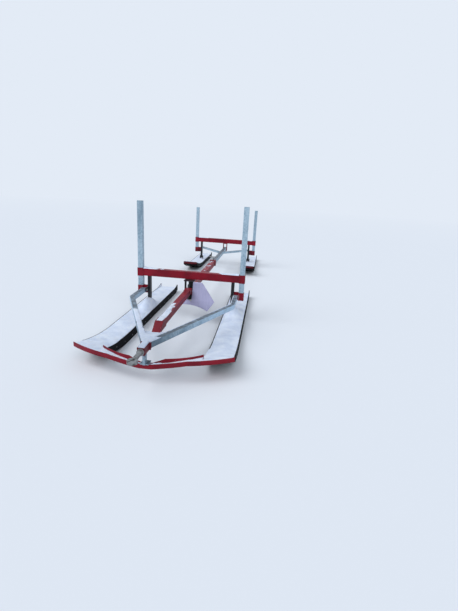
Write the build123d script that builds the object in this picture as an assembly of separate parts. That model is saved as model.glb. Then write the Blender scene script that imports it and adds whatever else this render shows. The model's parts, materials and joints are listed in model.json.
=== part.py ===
"""Towed steel timber sledge: front and rear ski sledges under two stake bunks, a wishbone
drawbar and a telescopic centre pole.

Millimetres, +Z up, +X to the right seen from the front, +Y towards the rear.
The origin is on the ground, at the centre of the overall box. While it is being drawn, every
piece is placed from the front bunk (y = 0), and it is moved to the origin as it is written.
"""

from build123d import *
import math
import os

os.makedirs("parts", exist_ok=True)

# Main layout
STAKE_SPACING = 1000.0
BUNK_SPACING = 2900.0
REAR_REACH = 3650.0
SIDES = {"left": -1, "right": 1}

# General fits
SEAT_GAP = 0.3
PIN_FIT = 0.05
SIDE_PLAY = 1.5

# Skis: a plastic shell under a shallow steel pan
SKI_CENTRE_X = 447.0
SKI_WIDTH = 214.0
SKI_DEPTH = 66.0
SHELL_BASE = 12.0
SHELL_WALL = 8.0
PAN_PLATE = 4.0
TIP_BEND = 600.0
TIP_RISE_TOP = 94.0
TIP_RISE_BASE = 120.0
TAIL_BEND = 160.0
TAIL_RISE = 22.0
SHELL_SETBACK = 112.0
REAR_SETBACK = 24.0
FRONT_TAIL_REACH = 850.0
REAR_TIP_REACH = 830.0
FRONT_TIP_REACH = 1278.0
NOSE_BAND = 5.0

# Nose crossbar: an upward channel between two arcs in plan, lower at its middle
NOSE_APEX = 1378.0
NOSE_FRONT_RADIUS = 1030.0
NOSE_WIDTH_MIDDLE = 40.0
NOSE_REAR_RADIUS = 528.0
NOSE_FLANGE = 28.0
NOSE_LIP = 5.0
NOSE_PLATE = 4.0
NOSE_DIP = 30.0
NOSE_FLAT = 40.0
NOSE_RISEN_X = 260.0
NOSE_REAR_RISEN_X = 120.0
NOSE_OVERHANG = 3.0
NOSE_REAR_DROP = 4.0

# Posts and bunks
POST_X = 415.0
POST_WIDTH = 30.0
POST_DEPTH = 40.0
POST_WALL = 3.0
BEAM_BASE_Z = 380.0
BEAM_HEIGHT = 70.0
BEAM_DEPTH = 60.0
BEAM_WALL = 4.0

# Stakes, the sleeves on the beam ends and the shoes below
STAKE_SIZE = 48.0
STAKE_WALL = 3.0
FRONT_STAKE_TOP = 1086.0
REAR_STAKE_TOP = 960.0
SLEEVE_WALL = 4.7
SLEEVE_DROP = 5.0
SHOE_WALL = 2.7
SHOE_BASE_Z = 204.0
SHOE_HEIGHT = 78.0
SHOE_FLOOR = 5.0
SHOE_WEB = 20.0

# Ski brackets
BRACKET_PLATE = 6.0
BRACKET_LENGTH = 200.0
BRACKET_WIDTH = 120.0
CHEEK_THICKNESS = 6.0
CHEEK_HEIGHT = 96.0
CHEEK_FOOT = 150.0
CHEEK_HEAD = 56.0
ROCK_PIN_Z = 115.0
ROCK_PIN_RADIUS = 10.0
ROCK_EYE = 22.0
ROCK_LUG = 8.0
ROCK_FOOT = 120.0

# Drawbar
ARM_SIZE = 40.0
ARM_WALL = 3.0
ARM_Z = 250.0
DRAWBAR_PIN_Y = -70.0
DRAWBAR_PIN_RADIUS = 8.0
DRAWBAR_LUG = 6.0
DRAWBAR_EYE = 22.0
ELBOW_Y = -385.0
ARM_MEET_Y = -1366.0
GUSSET_PLATE = 6.0
GUSSET_FRONT_Y = -1290.0
GUSSET_REAR_Y = -1125.0
COUPLER_REAR_Y = -1345.0
COUPLER_LENGTH = 100.0
COUPLER_WIDTH = 48.0
COUPLER_HEIGHT = 50.0
COUPLER_FLANGE = 10.0
COUPLER_FLANGE_WIDTH = 66.0
EYE_STANDOFF = 135.0
EYE_HOLE_RADIUS = 12.5
EYE_RADIUS = 32.0
EYE_PLATE = 20.0
EYE_SHANK_RADIUS = 15.0
EYE_SHOULDER = 12.5
EYE_SHOULDER_RADIUS = 23.0
STRUT_WIDTH = 16.0
STRUT_DEPTH = 40.0
STRUT_FOOT = 60.0
STRUT_FOOT_WIDTH = 56.0
STRUT_FOOT_PLATE = 6.0

# Centre beam of the drawbar
CENTRE_BEAM = 50.0
CENTRE_WALL = 4.0
CENTRE_SLEEVE_WALL = 5.0
CENTRE_SLEEVE_FRONT_Y = -1145.0
CENTRE_SLEEVE_LENGTH = 160.0
CENTRE_SLEEVE_SLOPE = 80.0
CENTRE_BEAM_SETBACK = 95.0
CENTRE_END_GAP = 5.0
CENTRE_CHEEK = 6.0
CENTRE_CHEEK_LENGTH = 110.0

# Hanger, kingpin and yoke under the front bunk
HANGER_PLATE = 8.0
HANGER_WIDTH = 100.0
HANGER_CHEEK = 8.0
HANGER_PLAY = 2.5
HANGER_FLOOR_Z = 205.0
HANGER_FRONT_Y = -98.0
HANGER_REAR_Y = 58.0
KINGPIN_Y = 20.0
KINGPIN_RADIUS = 15.0
KINGPIN_HEAD = 25.0
KINGPIN_HEAD_DEPTH = 12.0
YOKE_TUBE_RADIUS = 27.0
YOKE_PLAY = 0.5
YOKE_EAR = 8.0
YOKE_WEB_Y = 32.0
YOKE_WEB = 14.0
PITCH_PIN_Y = 105.0
PITCH_PIN_RADIUS = 10.0
PITCH_EYE = 26.0

# Telescopic pole
POLE_OUTER = 60.0
POLE_INNER = 50.0
POLE_WALL = 4.0
POLE_FRONT_Y = 75.0
POLE_OUTER_END_Y = 1500.0
POLE_INNER_START_Y = 750.0
POLE_TAIL = 60.0
COLLAR_LENGTH = 60.0
COLLAR_WALL = 8.0
CLAMP_RADIUS = 7.0
CLAMP_HANDLE = 110.0
CLAMP_HANDLE_RADIUS = 5.0
CLAMP_STICKOUT = 45.0

# Rear hanger and stays
SADDLE_LENGTH = 90.0
SADDLE_PLATE = 8.0
STAY_SIZE = 30.0
STAY_WALL = 3.0
STAY_FRONT_Y = 2440.0

# Snow deflector under the front bunk, with only its right half
DEFLECTOR_PLATE = 4.0
DEFLECTOR_TOP_WIDTH = 260.0
DEFLECTOR_WIDE = 524.0
DEFLECTOR_WIDE_Z = 208.0
DEFLECTOR_FOOT_WIDTH = 408.0
DEFLECTOR_FOOT_Z = 127.0
DEFLECTOR_ARCH_Z = 172.0
DEFLECTOR_SLOT_X = 43.0
DEFLECTOR_MID_Y = -146.0
DEFLECTOR_MID_Z = 240.0
DEFLECTOR_TOE_Y = -215.0

# Worked out
COUPLER_FRONT_Y = COUPLER_REAR_Y - COUPLER_LENGTH
EYE_Y = COUPLER_FRONT_Y - EYE_STANDOFF
FRONT_REACH = EYE_RADIUS - EYE_Y
ORIGIN_Y = (REAR_REACH - FRONT_REACH) / 2
STAKE_X = STAKE_SPACING / 2
BEAM_TOP_Z = BEAM_BASE_Z + BEAM_HEIGHT
SLEEVE_OUTER = STAKE_SIZE + 2 * (SEAT_GAP + SLEEVE_WALL)
SHOE_OUTER = STAKE_SIZE + 2 * (SEAT_GAP + SHOE_WALL)
BEAM_END_X = STAKE_X - SLEEVE_OUTER / 2
PAN_WIDTH = SKI_WIDTH - 2 * SHELL_WALL
PAN_TOP_Z = SHELL_BASE + PAN_PLATE
POST_FOOT_Z = PAN_TOP_Z + BRACKET_PLATE
POST_OUTER_X = POST_X + POST_WIDTH / 2
LEG_X = POST_OUTER_X + SIDE_PLAY + ARM_SIZE / 2
GUSSET_TOP_Z = ARM_Z
CENTRE_SLEEVE = CENTRE_BEAM + 2 * (SEAT_GAP + CENTRE_SLEEVE_WALL)
POLE_Z = GUSSET_TOP_Z + CENTRE_SLEEVE / 2
SKI_TIP_TOP_Z = SKI_DEPTH + TIP_RISE_TOP
NOSE_LOW_Z = SKI_TIP_TOP_Z - NOSE_DIP
SHOE_TOP_Z = SHOE_BASE_Z + SHOE_HEIGHT
COUPLER_TOP_Z = ARM_Z + ARM_SIZE / 2
COUPLER_BASE_Z = COUPLER_TOP_Z - COUPLER_HEIGHT
EYE_Z = COUPLER_TOP_Z - COUPLER_HEIGHT / 2
CUT = 4000.0


def block(x_low, x_high, y_low, y_high, z_low, z_high):
    """A box between two corners."""
    size = (x_high - x_low, y_high - y_low, z_high - z_low)
    centre = ((x_low + x_high) / 2, (y_low + y_high) / 2, (z_low + z_high) / 2)
    return Pos(*centre) * Box(*size)


def prism_x(outline, x_low, x_high):
    """A closed (y, z) outline drawn out along X."""
    face = Plane.YZ.offset(x_low) * make_face(outline)
    return extrude(face, x_high - x_low)


def prism_y(outline, y_low, y_high):
    """A closed (x, z) outline drawn out along +Y."""
    face = Plane((0, y_low, 0), x_dir=(1, 0, 0), z_dir=(0, -1, 0)) * make_face(outline)
    return extrude(face, -(y_high - y_low))


def prism_z(outline, z_low, z_high):
    """A closed (x, y) outline drawn out along Z."""
    return Pos(0, 0, z_low) * extrude(make_face(outline), z_high - z_low)


def rod_x(radius, x_low, x_high, y, z):
    """A round bar along X."""
    return Pos((x_low + x_high) / 2, y, z) * Rot(0, 90, 0) * Cylinder(radius, x_high - x_low)


def rod_y(radius, y_low, y_high, x, z):
    """A round bar along Y."""
    return Pos(x, (y_low + y_high) / 2, z) * Rot(90, 0, 0) * Cylinder(radius, y_high - y_low)


def rod_z(radius, z_low, z_high, x, y):
    """A round bar along Z."""
    return Pos(x, y, (z_low + z_high) / 2) * Cylinder(radius, z_high - z_low)


def tube_y(width, height, wall, y_low, y_high, z):
    """A rectangular tube along Y on the centre line, open at both ends."""
    half, rise = width / 2, height / 2
    outer = block(-half, half, y_low, y_high, z - rise, z + rise)
    half, rise = half - wall, rise - wall
    return outer - block(-half, half, y_low, y_high, z - rise, z + rise)


def headed_pin_x(radius, x_low, x_high, y, z, head_radius, head):
    """A pin along X whose two heads stand just clear of the faces at x_low and x_high."""
    low, high = x_low - SEAT_GAP, x_high + SEAT_GAP
    pin = rod_x(radius, low, high, y, z)
    return pin + rod_x(head_radius, low - head, low, y, z) + rod_x(head_radius, high, high + head, y, z)


def save(name, *solids):
    """Write the solids of one node, moved from the front bunk to the part's origin."""
    shape = Compound(children=[Pos(0, -ORIGIN_Y, 0) * solid for solid in solids])
    if len(solids) == 1:
        shape = Pos(0, -ORIGIN_Y, 0) * solids[0]
    export_step(shape, f"parts/{name}.step")


def ski_side(low, high, rise_low, rise_high, tip_y, tail_y):
    """Side outline (y, z) of a ski layer: flat, with a tip swept up and a lifted tail."""
    bend_y = tip_y + TIP_BEND
    tail_bend_y = tail_y - TAIL_BEND
    return [
        TangentArc((bend_y, low), (tip_y, low + rise_low), tangent=(-1, 0)),
        Line((tip_y, low + rise_low), (tip_y, high + rise_high)),
        TangentArc((bend_y, high), (tip_y, high + rise_high), tangent=(-1, 0)),
        Line((bend_y, high), (tail_bend_y, high)),
        TangentArc((tail_bend_y, high), (tail_y, high + TAIL_RISE), tangent=(1, 0)),
        Line((tail_y, high + TAIL_RISE), (tail_y, low + TAIL_RISE)),
        TangentArc((tail_bend_y, low), (tail_y, low + TAIL_RISE), tangent=(1, 0)),
        Line((tail_bend_y, low), (bend_y, low)),
    ]


def ski_layer(outline, width, slant):
    """Draw a ski's side outline out across its width; the tip half can be slanted in plan."""
    half = width / 2
    level = prism_x(outline, -half, half)
    if slant == 0:
        return level
    face = Pos(-half, -slant * half, 0) * (Plane.YZ * make_face(outline))
    slanted = Solid.extrude(face.face(), Vector(width, slant * width, 0))
    ahead = block(-half, half, -CUT, 0, -CUT, CUT)
    behind = block(-half, half, 0, CUT, -CUT, CUT)
    return (slanted & ahead) + (level & behind)


def ski_pan(tip_y, tail_y, slant):
    """Steel pan: a flat plate with a flange up each side, open at tip and tail."""
    side = ski_side(SHELL_BASE, SKI_DEPTH, TIP_RISE_BASE, TIP_RISE_TOP, tip_y, tail_y)
    room = ski_side(PAN_TOP_Z, SKI_DEPTH + NOSE_FLANGE, TIP_RISE_BASE, TIP_RISE_TOP, tip_y, tail_y)
    pan = ski_layer(side, PAN_WIDTH, slant)
    return pan - ski_layer(room, PAN_WIDTH - 2 * PAN_PLATE, slant)


def ski_shell(tip_y, tail_y, slant):
    """Plastic shell: the running sole with walls that hug the pan's flanges."""
    side = ski_side(0, SKI_DEPTH, TIP_RISE_BASE, TIP_RISE_TOP, tip_y, tail_y)
    high = SKI_DEPTH + NOSE_FLANGE
    room = ski_side(SHELL_BASE, high, TIP_RISE_BASE, TIP_RISE_TOP, tip_y, tail_y)
    return ski_layer(side, SKI_WIDTH, slant) - ski_layer(room, PAN_WIDTH, slant)


def nose_disc(radius, apex):
    """Everything behind a nose arc in plan: a tall disc, its front point at the apex."""
    return Pos(0, radius - apex, 0) * Cylinder(radius, CUT)


def nose_edge(depth, risen_x):
    """One edge of the crossbar seen from the front, left to right: dipped until it has risen."""
    edge_x = SKI_CENTRE_X + SKI_WIDTH / 2 + NOSE_OVERHANG
    high = SKI_TIP_TOP_Z - depth
    right = [(NOSE_FLAT, high - NOSE_DIP), (risen_x, high), (edge_x, high)]
    return [(-x, z) for x, z in reversed(right)] + right


def nose_slab(top, bottom, top_risen_x=NOSE_RISEN_X):
    """A layer of the crossbar, by the depths of its edges below the front flange's top."""
    lower = nose_edge(bottom, NOSE_RISEN_X)
    outline = Polyline(*nose_edge(top, top_risen_x), *reversed(lower), close=True)
    return prism_y(outline, -NOSE_APEX - 10, 0)


def nose_crossbar():
    """Bowed channel: a deep front flange from ski to ski, a web and a straighter rear flange."""
    inner_x = SKI_CENTRE_X - PAN_WIDTH / 2
    front = nose_disc(NOSE_FRONT_RADIUS, NOSE_APEX)
    front_face = front - nose_disc(NOSE_FRONT_RADIUS - NOSE_PLATE, NOSE_APEX - NOSE_PLATE)
    rear_apex = NOSE_APEX - NOSE_WIDTH_MIDDLE
    rear = nose_disc(NOSE_REAR_RADIUS, rear_apex)
    rear_face = nose_disc(NOSE_REAR_RADIUS + NOSE_PLATE, rear_apex + NOSE_PLATE) - rear
    middle = block(-inner_x, inner_x, -NOSE_APEX - 10, -NOSE_APEX / 2, 0, SKI_TIP_TOP_Z)
    forward = block(-CUT, CUT, -NOSE_APEX - 10, -NOSE_APEX / 2, 0, SKI_TIP_TOP_Z)
    flange = nose_slab(0, NOSE_FLANGE + NOSE_LIP) & front_face & forward
    web = nose_slab(NOSE_FLANGE - NOSE_PLATE, NOSE_FLANGE) & (front - rear) & middle
    rear_flange = nose_slab(NOSE_REAR_DROP, NOSE_FLANGE, NOSE_REAR_RISEN_X) & rear_face & middle
    return flange + web + rear_flange


def nose_slant():
    """Slope in plan of the crossbar's front face across a ski."""
    inner_x, outer_x = SKI_CENTRE_X - SKI_WIDTH / 2, SKI_CENTRE_X + SKI_WIDTH / 2
    inner = math.sqrt(NOSE_FRONT_RADIUS**2 - inner_x**2)
    outer = math.sqrt(NOSE_FRONT_RADIUS**2 - outer_x**2)
    return (inner - outer) / SKI_WIDTH


def front_skis():
    """Front skis, their tips slanted to the bowed crossbar that ties them."""
    slant = nose_slant()
    behind_bar = nose_disc(NOSE_FRONT_RADIUS - NOSE_PLATE, NOSE_APEX - NOSE_PLATE)
    behind_setback = nose_disc(NOSE_FRONT_RADIUS, NOSE_APEX - SHELL_SETBACK)
    rearward = block(-CUT, CUT, -NOSE_FRONT_RADIUS / 2, CUT, -CUT, CUT)
    for side, sign in SIDES.items():
        at_ski = Pos(sign * SKI_CENTRE_X, 0, 0)
        pan = at_ski * ski_pan(-FRONT_TIP_REACH, FRONT_TAIL_REACH, sign * slant)
        shell = at_ski * ski_shell(-FRONT_TIP_REACH, FRONT_TAIL_REACH, sign * slant)
        save(f"front_ski_pan_{side}", pan & (behind_bar + rearward))
        save(f"front_ski_shell_{side}", shell & (behind_setback + rearward))
    save("nose_crossbar", nose_crossbar())


def rear_skis():
    """Separate rear skis, each with a square front band and a rocking bracket."""
    tip_y = BUNK_SPACING - REAR_TIP_REACH
    half = PAN_WIDTH / 2
    for side, sign in SIDES.items():
        at_ski = Pos(sign * SKI_CENTRE_X, 0, 0)
        top = SKI_TIP_TOP_Z
        band = block(-half, half, tip_y - NOSE_BAND, tip_y, top - NOSE_FLANGE, top)
        pan = ski_pan(tip_y, REAR_REACH, 0) + band
        setback = block(-SKI_WIDTH, SKI_WIDTH, tip_y + REAR_SETBACK, CUT, -1, CUT)
        save(f"rear_ski_pan_{side}", at_ski * pan)
        save(f"rear_ski_shell_{side}", at_ski * (ski_shell(tip_y, REAR_REACH, 0) & setback))
        save(f"rear_ski_bracket_{side}", rocking_bracket(sign))


def bracket_base(sign, y, length):
    """Foot plate of a ski bracket, on the pan."""
    x = sign * POST_X
    half = BRACKET_WIDTH / 2
    return block(x - half, x + half, y - length / 2, y + length / 2, PAN_TOP_Z, POST_FOOT_Z)


def front_bracket(sign):
    """Welded foot of a front post: base plate and two tapered cheeks."""
    foot, head = CHEEK_FOOT / 2, CHEEK_HEAD / 2
    top = POST_FOOT_Z + CHEEK_HEIGHT
    outline = Polyline((-foot, POST_FOOT_Z), (foot, POST_FOOT_Z), (head, top), (-head, top), close=True)
    bracket = bracket_base(sign, 0, BRACKET_LENGTH)
    for edge in (-1, 1):
        inner = sign * POST_X + edge * (POST_WIDTH / 2 + SEAT_GAP)
        outer = inner + edge * CHEEK_THICKNESS
        bracket += prism_x(outline, min(inner, outer), max(inner, outer))
    return bracket


def rocking_bracket(sign):
    """Foot of a rear post: base plate and two lugs round the rocking pin."""
    bracket = bracket_base(sign, BUNK_SPACING, BRACKET_LENGTH)
    foot = ROCK_FOOT / 2
    for edge in (-1, 1):
        inner = sign * POST_X + edge * (POST_WIDTH / 2 + SIDE_PLAY)
        outer = inner + edge * ROCK_LUG
        low, high = min(inner, outer), max(inner, outer)
        outline = Polyline(
            (BUNK_SPACING - foot, POST_FOOT_Z), (BUNK_SPACING + foot, POST_FOOT_Z),
            (BUNK_SPACING + ROCK_EYE, ROCK_PIN_Z), (BUNK_SPACING - ROCK_EYE, ROCK_PIN_Z), close=True,
        )
        bracket += prism_x(outline, low, high) + rod_x(ROCK_EYE, low, high, BUNK_SPACING, ROCK_PIN_Z)
    x = sign * POST_X
    return bracket - rod_x(ROCK_PIN_RADIUS + PIN_FIT, x - SKI_WIDTH, x + SKI_WIDTH, BUNK_SPACING, ROCK_PIN_Z)


def post_tube(sign, y, z_low):
    """Upright rectangular tube between a ski and a bunk."""
    x = sign * POST_X
    half, depth = POST_WIDTH / 2, POST_DEPTH / 2
    outer = block(x - half, x + half, y - depth, y + depth, z_low, BEAM_BASE_Z)
    half, depth = half - POST_WALL, depth - POST_WALL
    return outer - block(x - half, x + half, y - depth, y + depth, z_low, BEAM_BASE_Z)


def hinge_lug(x_low, x_high, root_y):
    """Drawbar hinge lug from a root ahead to a round eye at the pin."""
    outline = Polyline(
        (root_y, ARM_Z - DRAWBAR_EYE), (DRAWBAR_PIN_Y, ARM_Z - DRAWBAR_EYE),
        (DRAWBAR_PIN_Y, ARM_Z + DRAWBAR_EYE), (root_y, ARM_Z + DRAWBAR_EYE), close=True,
    )
    lug = prism_x(outline, x_low, x_high)
    lug += rod_x(DRAWBAR_EYE, x_low, x_high, DRAWBAR_PIN_Y, ARM_Z)
    hole = rod_x(DRAWBAR_PIN_RADIUS + PIN_FIT, x_low - 1, x_high + 1, DRAWBAR_PIN_Y, ARM_Z)
    return lug - hole


def front_post(sign):
    """Front post with the inner lug of the drawbar hinge."""
    edge = sign * POST_OUTER_X
    inner = edge - sign * DRAWBAR_LUG
    lug = hinge_lug(min(edge, inner), max(edge, inner), -POST_DEPTH / 2)
    return post_tube(sign, 0, POST_FOOT_Z) + lug


def rear_post(sign):
    """Rear post, rounded at its foot round the rocking pin."""
    x = sign * POST_X
    half = POST_WIDTH / 2
    post = post_tube(sign, BUNK_SPACING, ROCK_PIN_Z)
    post += rod_x(POST_DEPTH / 2, x - half, x + half, BUNK_SPACING, ROCK_PIN_Z)
    hole = rod_x(ROCK_PIN_RADIUS + PIN_FIT, x - POST_WIDTH, x + POST_WIDTH, BUNK_SPACING, ROCK_PIN_Z)
    return post - hole


def bunk_beam(y):
    """Cross beam with a stake sleeve welded on each end."""
    depth = BEAM_DEPTH / 2
    beam = block(-BEAM_END_X, BEAM_END_X, y - depth, y + depth, BEAM_BASE_Z, BEAM_TOP_Z)
    inner = depth - BEAM_WALL
    low, high = BEAM_BASE_Z + BEAM_WALL, BEAM_TOP_Z - BEAM_WALL
    beam -= block(-BEAM_END_X, BEAM_END_X, y - inner, y + inner, low, high)
    half, room = SLEEVE_OUTER / 2, STAKE_SIZE / 2 + SEAT_GAP
    low, high = BEAM_BASE_Z - SLEEVE_DROP, BEAM_TOP_Z + SLEEVE_DROP
    for sign in SIDES.values():
        x = sign * STAKE_X
        beam += block(x - half, x + half, y - half, y + half, low, high)
        beam -= block(x - room, x + room, y - room, y + room, low, high)
    return beam


def stake_shoe(sign, y, with_lug):
    """Cup under a stake, with a web to the post and, in front, the outer hinge lug."""
    x = sign * STAKE_X
    half, room = SHOE_OUTER / 2, STAKE_SIZE / 2 + SEAT_GAP
    shoe = block(x - half, x + half, y - half, y + half, SHOE_BASE_Z, SHOE_TOP_Z)
    floor = SHOE_BASE_Z + SHOE_FLOOR
    inner_x = sign * (STAKE_X - half)
    post_x = sign * POST_OUTER_X
    low, high = min(inner_x, post_x), max(inner_x, post_x)
    shoe += block(low, high, y - SHOE_WEB / 2, y + SHOE_WEB / 2, SHOE_BASE_Z, SHOE_TOP_Z)
    if with_lug:
        outer = inner_x + sign * DRAWBAR_LUG
        shoe += hinge_lug(min(inner_x, outer), max(inner_x, outer), -half)
    return shoe - block(x - room, x + room, y - room, y + room, floor, SHOE_TOP_Z)


def stake(sign, y, top):
    """Square tube stake with a welded cap, standing in its shoe."""
    x = sign * STAKE_X
    half = STAKE_SIZE / 2
    low = SHOE_BASE_Z + SHOE_FLOOR + SEAT_GAP
    inner = half - STAKE_WALL
    outer = block(x - half, x + half, y - half, y + half, low, top)
    return outer - block(x - inner, x + inner, y - inner, y + inner, low, top - STAKE_WALL)


def bunk(end, y, top, with_lug):
    """One bunk: beam, stake shoes and stakes."""
    save(f"{end}_bunk_beam", bunk_beam(y))
    save(f"{end}_stake_shoes", *(stake_shoe(sign, y, with_lug) for sign in SIDES.values()))
    for side, sign in SIDES.items():
        save(f"{end}_stake_{side}", stake(sign, y, top))


def deflector_curve(offset):
    """Side line (y, z) of the deflector, from its top edge to its toe."""
    return ThreePointArc(
        (HANGER_FRONT_Y - offset, BEAM_BASE_Z - HANGER_PLATE),
        (DEFLECTOR_MID_Y - offset, DEFLECTOR_MID_Z),
        (DEFLECTOR_TOE_Y - offset, DEFLECTOR_FOOT_Z),
    )


def snow_deflector():
    """Curved apron ahead of the kingpin: its right half, cut away round the centre beam."""
    rear, front = deflector_curve(0), deflector_curve(DEFLECTOR_PLATE)
    side = [rear, front, Line(rear @ 0, front @ 0), Line(rear @ 1, front @ 1)]
    half = DEFLECTOR_WIDE / 2
    apron = prism_x(side, -half, half)
    top, foot = DEFLECTOR_TOP_WIDTH / 2, DEFLECTOR_FOOT_WIDTH / 2
    top_z = BEAM_BASE_Z - HANGER_PLATE
    outline = [
        ThreePointArc((-foot, DEFLECTOR_FOOT_Z), (0, DEFLECTOR_ARCH_Z), (foot, DEFLECTOR_FOOT_Z)),
        Polyline(
            (foot, DEFLECTOR_FOOT_Z), (half, DEFLECTOR_WIDE_Z), (top, top_z),
            (-top, top_z), (-half, DEFLECTOR_WIDE_Z), (-foot, DEFLECTOR_FOOT_Z),
        ),
    ]
    apron &= prism_y(outline, DEFLECTOR_TOE_Y - CUT / 4, 0)
    floor_top = HANGER_FLOOR_Z + HANGER_PLATE
    apron -= block(-CUT, -HANGER_WIDTH / 2, -CUT, 0, 0, CUT)
    return apron - block(-CUT, DEFLECTOR_SLOT_X, -CUT, 0, floor_top, CUT)


def front_hanger():
    """Bracket under the front bunk: hinge cheeks for the drawbar, plates for the kingpin."""
    half = HANGER_WIDTH / 2
    top_low = BEAM_BASE_Z - HANGER_PLATE
    floor_top = HANGER_FLOOR_Z + HANGER_PLATE
    hanger = block(-half, half, HANGER_FRONT_Y, HANGER_REAR_Y, top_low, BEAM_BASE_Z)
    floor = block(-half, half, DEFLECTOR_TOE_Y, HANGER_REAR_Y, HANGER_FLOOR_Z, floor_top)
    curve = deflector_curve(0)
    ahead = [
        curve,
        Polyline(
            curve @ 0, (-CUT, BEAM_BASE_Z - HANGER_PLATE), (-CUT, DEFLECTOR_FOOT_Z), curve @ 1,
        ),
    ]
    hanger += floor - prism_x(ahead, -half, half)
    inner = CENTRE_BEAM / 2 + CENTRE_CHEEK + HANGER_PLAY
    cheek_end = DRAWBAR_PIN_Y * 2 - HANGER_FRONT_Y
    for low, high in ((-inner - HANGER_CHEEK, -inner), (inner, inner + HANGER_CHEEK)):
        hanger += block(low, high, HANGER_FRONT_Y, cheek_end, floor_top, top_low)
    hanger -= rod_x(DRAWBAR_PIN_RADIUS + PIN_FIT, -half, half, DRAWBAR_PIN_Y, ARM_Z)
    return hanger - rod_z(KINGPIN_RADIUS + PIN_FIT, HANGER_FLOOR_Z, BEAM_BASE_Z, 0, KINGPIN_Y)


def kingpin():
    """Vertical pin under the front bunk with a nut below."""
    low = HANGER_FLOOR_Z - SEAT_GAP
    pin = rod_z(KINGPIN_RADIUS, low, BEAM_BASE_Z - SEAT_GAP, 0, KINGPIN_Y)
    return pin + rod_z(KINGPIN_HEAD, low - KINGPIN_HEAD_DEPTH, low, 0, KINGPIN_Y)


def drawbar_pins():
    """Three pins on one axis: one at each post and one in the hanger."""
    pins = []
    head_radius, head = DRAWBAR_PIN_RADIUS * 1.6, DRAWBAR_LUG
    for sign in SIDES.values():
        inner = sign * (POST_OUTER_X - DRAWBAR_LUG)
        outer = sign * (STAKE_X - SHOE_OUTER / 2 + DRAWBAR_LUG)
        ends = (min(inner, outer), max(inner, outer))
        pins.append(headed_pin_x(DRAWBAR_PIN_RADIUS, *ends, DRAWBAR_PIN_Y, ARM_Z, head_radius, head))
    face = CENTRE_BEAM / 2 + CENTRE_CHEEK + HANGER_PLAY + HANGER_CHEEK
    pins.append(headed_pin_x(DRAWBAR_PIN_RADIUS, -face, face, DRAWBAR_PIN_Y, ARM_Z, head_radius, head))
    return pins


def arm_outline(sign, half):
    """Plan outline of one drawbar arm and its leg, half a width each side of the bent line."""
    run_x, run_y = LEG_X, ELBOW_Y - ARM_MEET_Y
    length = math.hypot(run_x, run_y)
    turn = math.atan2(run_x, run_y)
    mitre = half * math.tan(turn / 2)
    side_x = half * run_y / length
    side_y = half * run_x / length
    return Polyline(
        (sign * (LEG_X + half), DRAWBAR_PIN_Y), (sign * (LEG_X + half), ELBOW_Y - mitre),
        (sign * side_x, ARM_MEET_Y - side_y), (-sign * side_x, ARM_MEET_Y + side_y),
        (sign * (LEG_X - half), ELBOW_Y + mitre), (sign * (LEG_X - half), DRAWBAR_PIN_Y),
        close=True,
    )


def drawbar_arm(sign):
    """Mitred tube: a leg from the hinge to the elbow, then the arm in to the coupler."""
    half = ARM_SIZE / 2
    inner = half - ARM_WALL
    arm = prism_z(arm_outline(sign, half), ARM_Z - half, ARM_Z + half)
    arm -= prism_z(arm_outline(sign, inner), ARM_Z - inner, ARM_Z + inner)
    x = sign * LEG_X
    arm += rod_x(half, x - half, x + half, DRAWBAR_PIN_Y, ARM_Z)
    arm -= rod_x(DRAWBAR_PIN_RADIUS + PIN_FIT, x - ARM_SIZE, x + ARM_SIZE, DRAWBAR_PIN_Y, ARM_Z)
    near, far = sign * SEAT_GAP / 2, sign * CUT
    side = block(min(near, far), max(near, far), COUPLER_REAR_Y, 0, 0, CUT)
    return arm & side


def gusset():
    """Plate let in between the arms, which carries the sleeve of the centre beam."""
    run_x, run_y = LEG_X, ELBOW_Y - ARM_MEET_Y
    slope = run_x / run_y
    inset = (ARM_SIZE / 2 + SEAT_GAP) * math.hypot(run_x, run_y) / run_y
    near = slope * (GUSSET_FRONT_Y - ARM_MEET_Y) - inset
    far = slope * (GUSSET_REAR_Y - ARM_MEET_Y) - inset
    outline = Polyline(
        (-near, GUSSET_FRONT_Y), (near, GUSSET_FRONT_Y), (far, GUSSET_REAR_Y),
        (-far, GUSSET_REAR_Y), close=True,
    )
    return prism_z(outline, GUSSET_TOP_Z - GUSSET_PLATE, GUSSET_TOP_Z)


def centre_beam():
    """Centre tube of the drawbar with hinge cheeks at its rear end."""
    end_y = DRAWBAR_PIN_Y - CENTRE_END_GAP
    front = CENTRE_SLEEVE_FRONT_Y + CENTRE_BEAM_SETBACK
    beam = tube_y(CENTRE_BEAM, CENTRE_BEAM, CENTRE_WALL, front, end_y, POLE_Z)
    top = POLE_Z + CENTRE_BEAM / 2
    back = end_y - CENTRE_CHEEK_LENGTH
    reach = DRAWBAR_EYE
    outline = Polyline(
        (back, POLE_Z), (DRAWBAR_PIN_Y - reach, ARM_Z), (DRAWBAR_PIN_Y + reach, ARM_Z),
        (end_y, POLE_Z), (end_y, top), (back, top), close=True,
    )
    face = CENTRE_BEAM / 2
    for low, high in ((-face - CENTRE_CHEEK, -face), (face, face + CENTRE_CHEEK)):
        beam += prism_x(outline, low, high)
        beam += rod_x(reach, low, high, DRAWBAR_PIN_Y, ARM_Z)
    wide = face + CENTRE_CHEEK + 1
    return beam - rod_x(DRAWBAR_PIN_RADIUS + PIN_FIT, -wide, wide, DRAWBAR_PIN_Y, ARM_Z)


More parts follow.
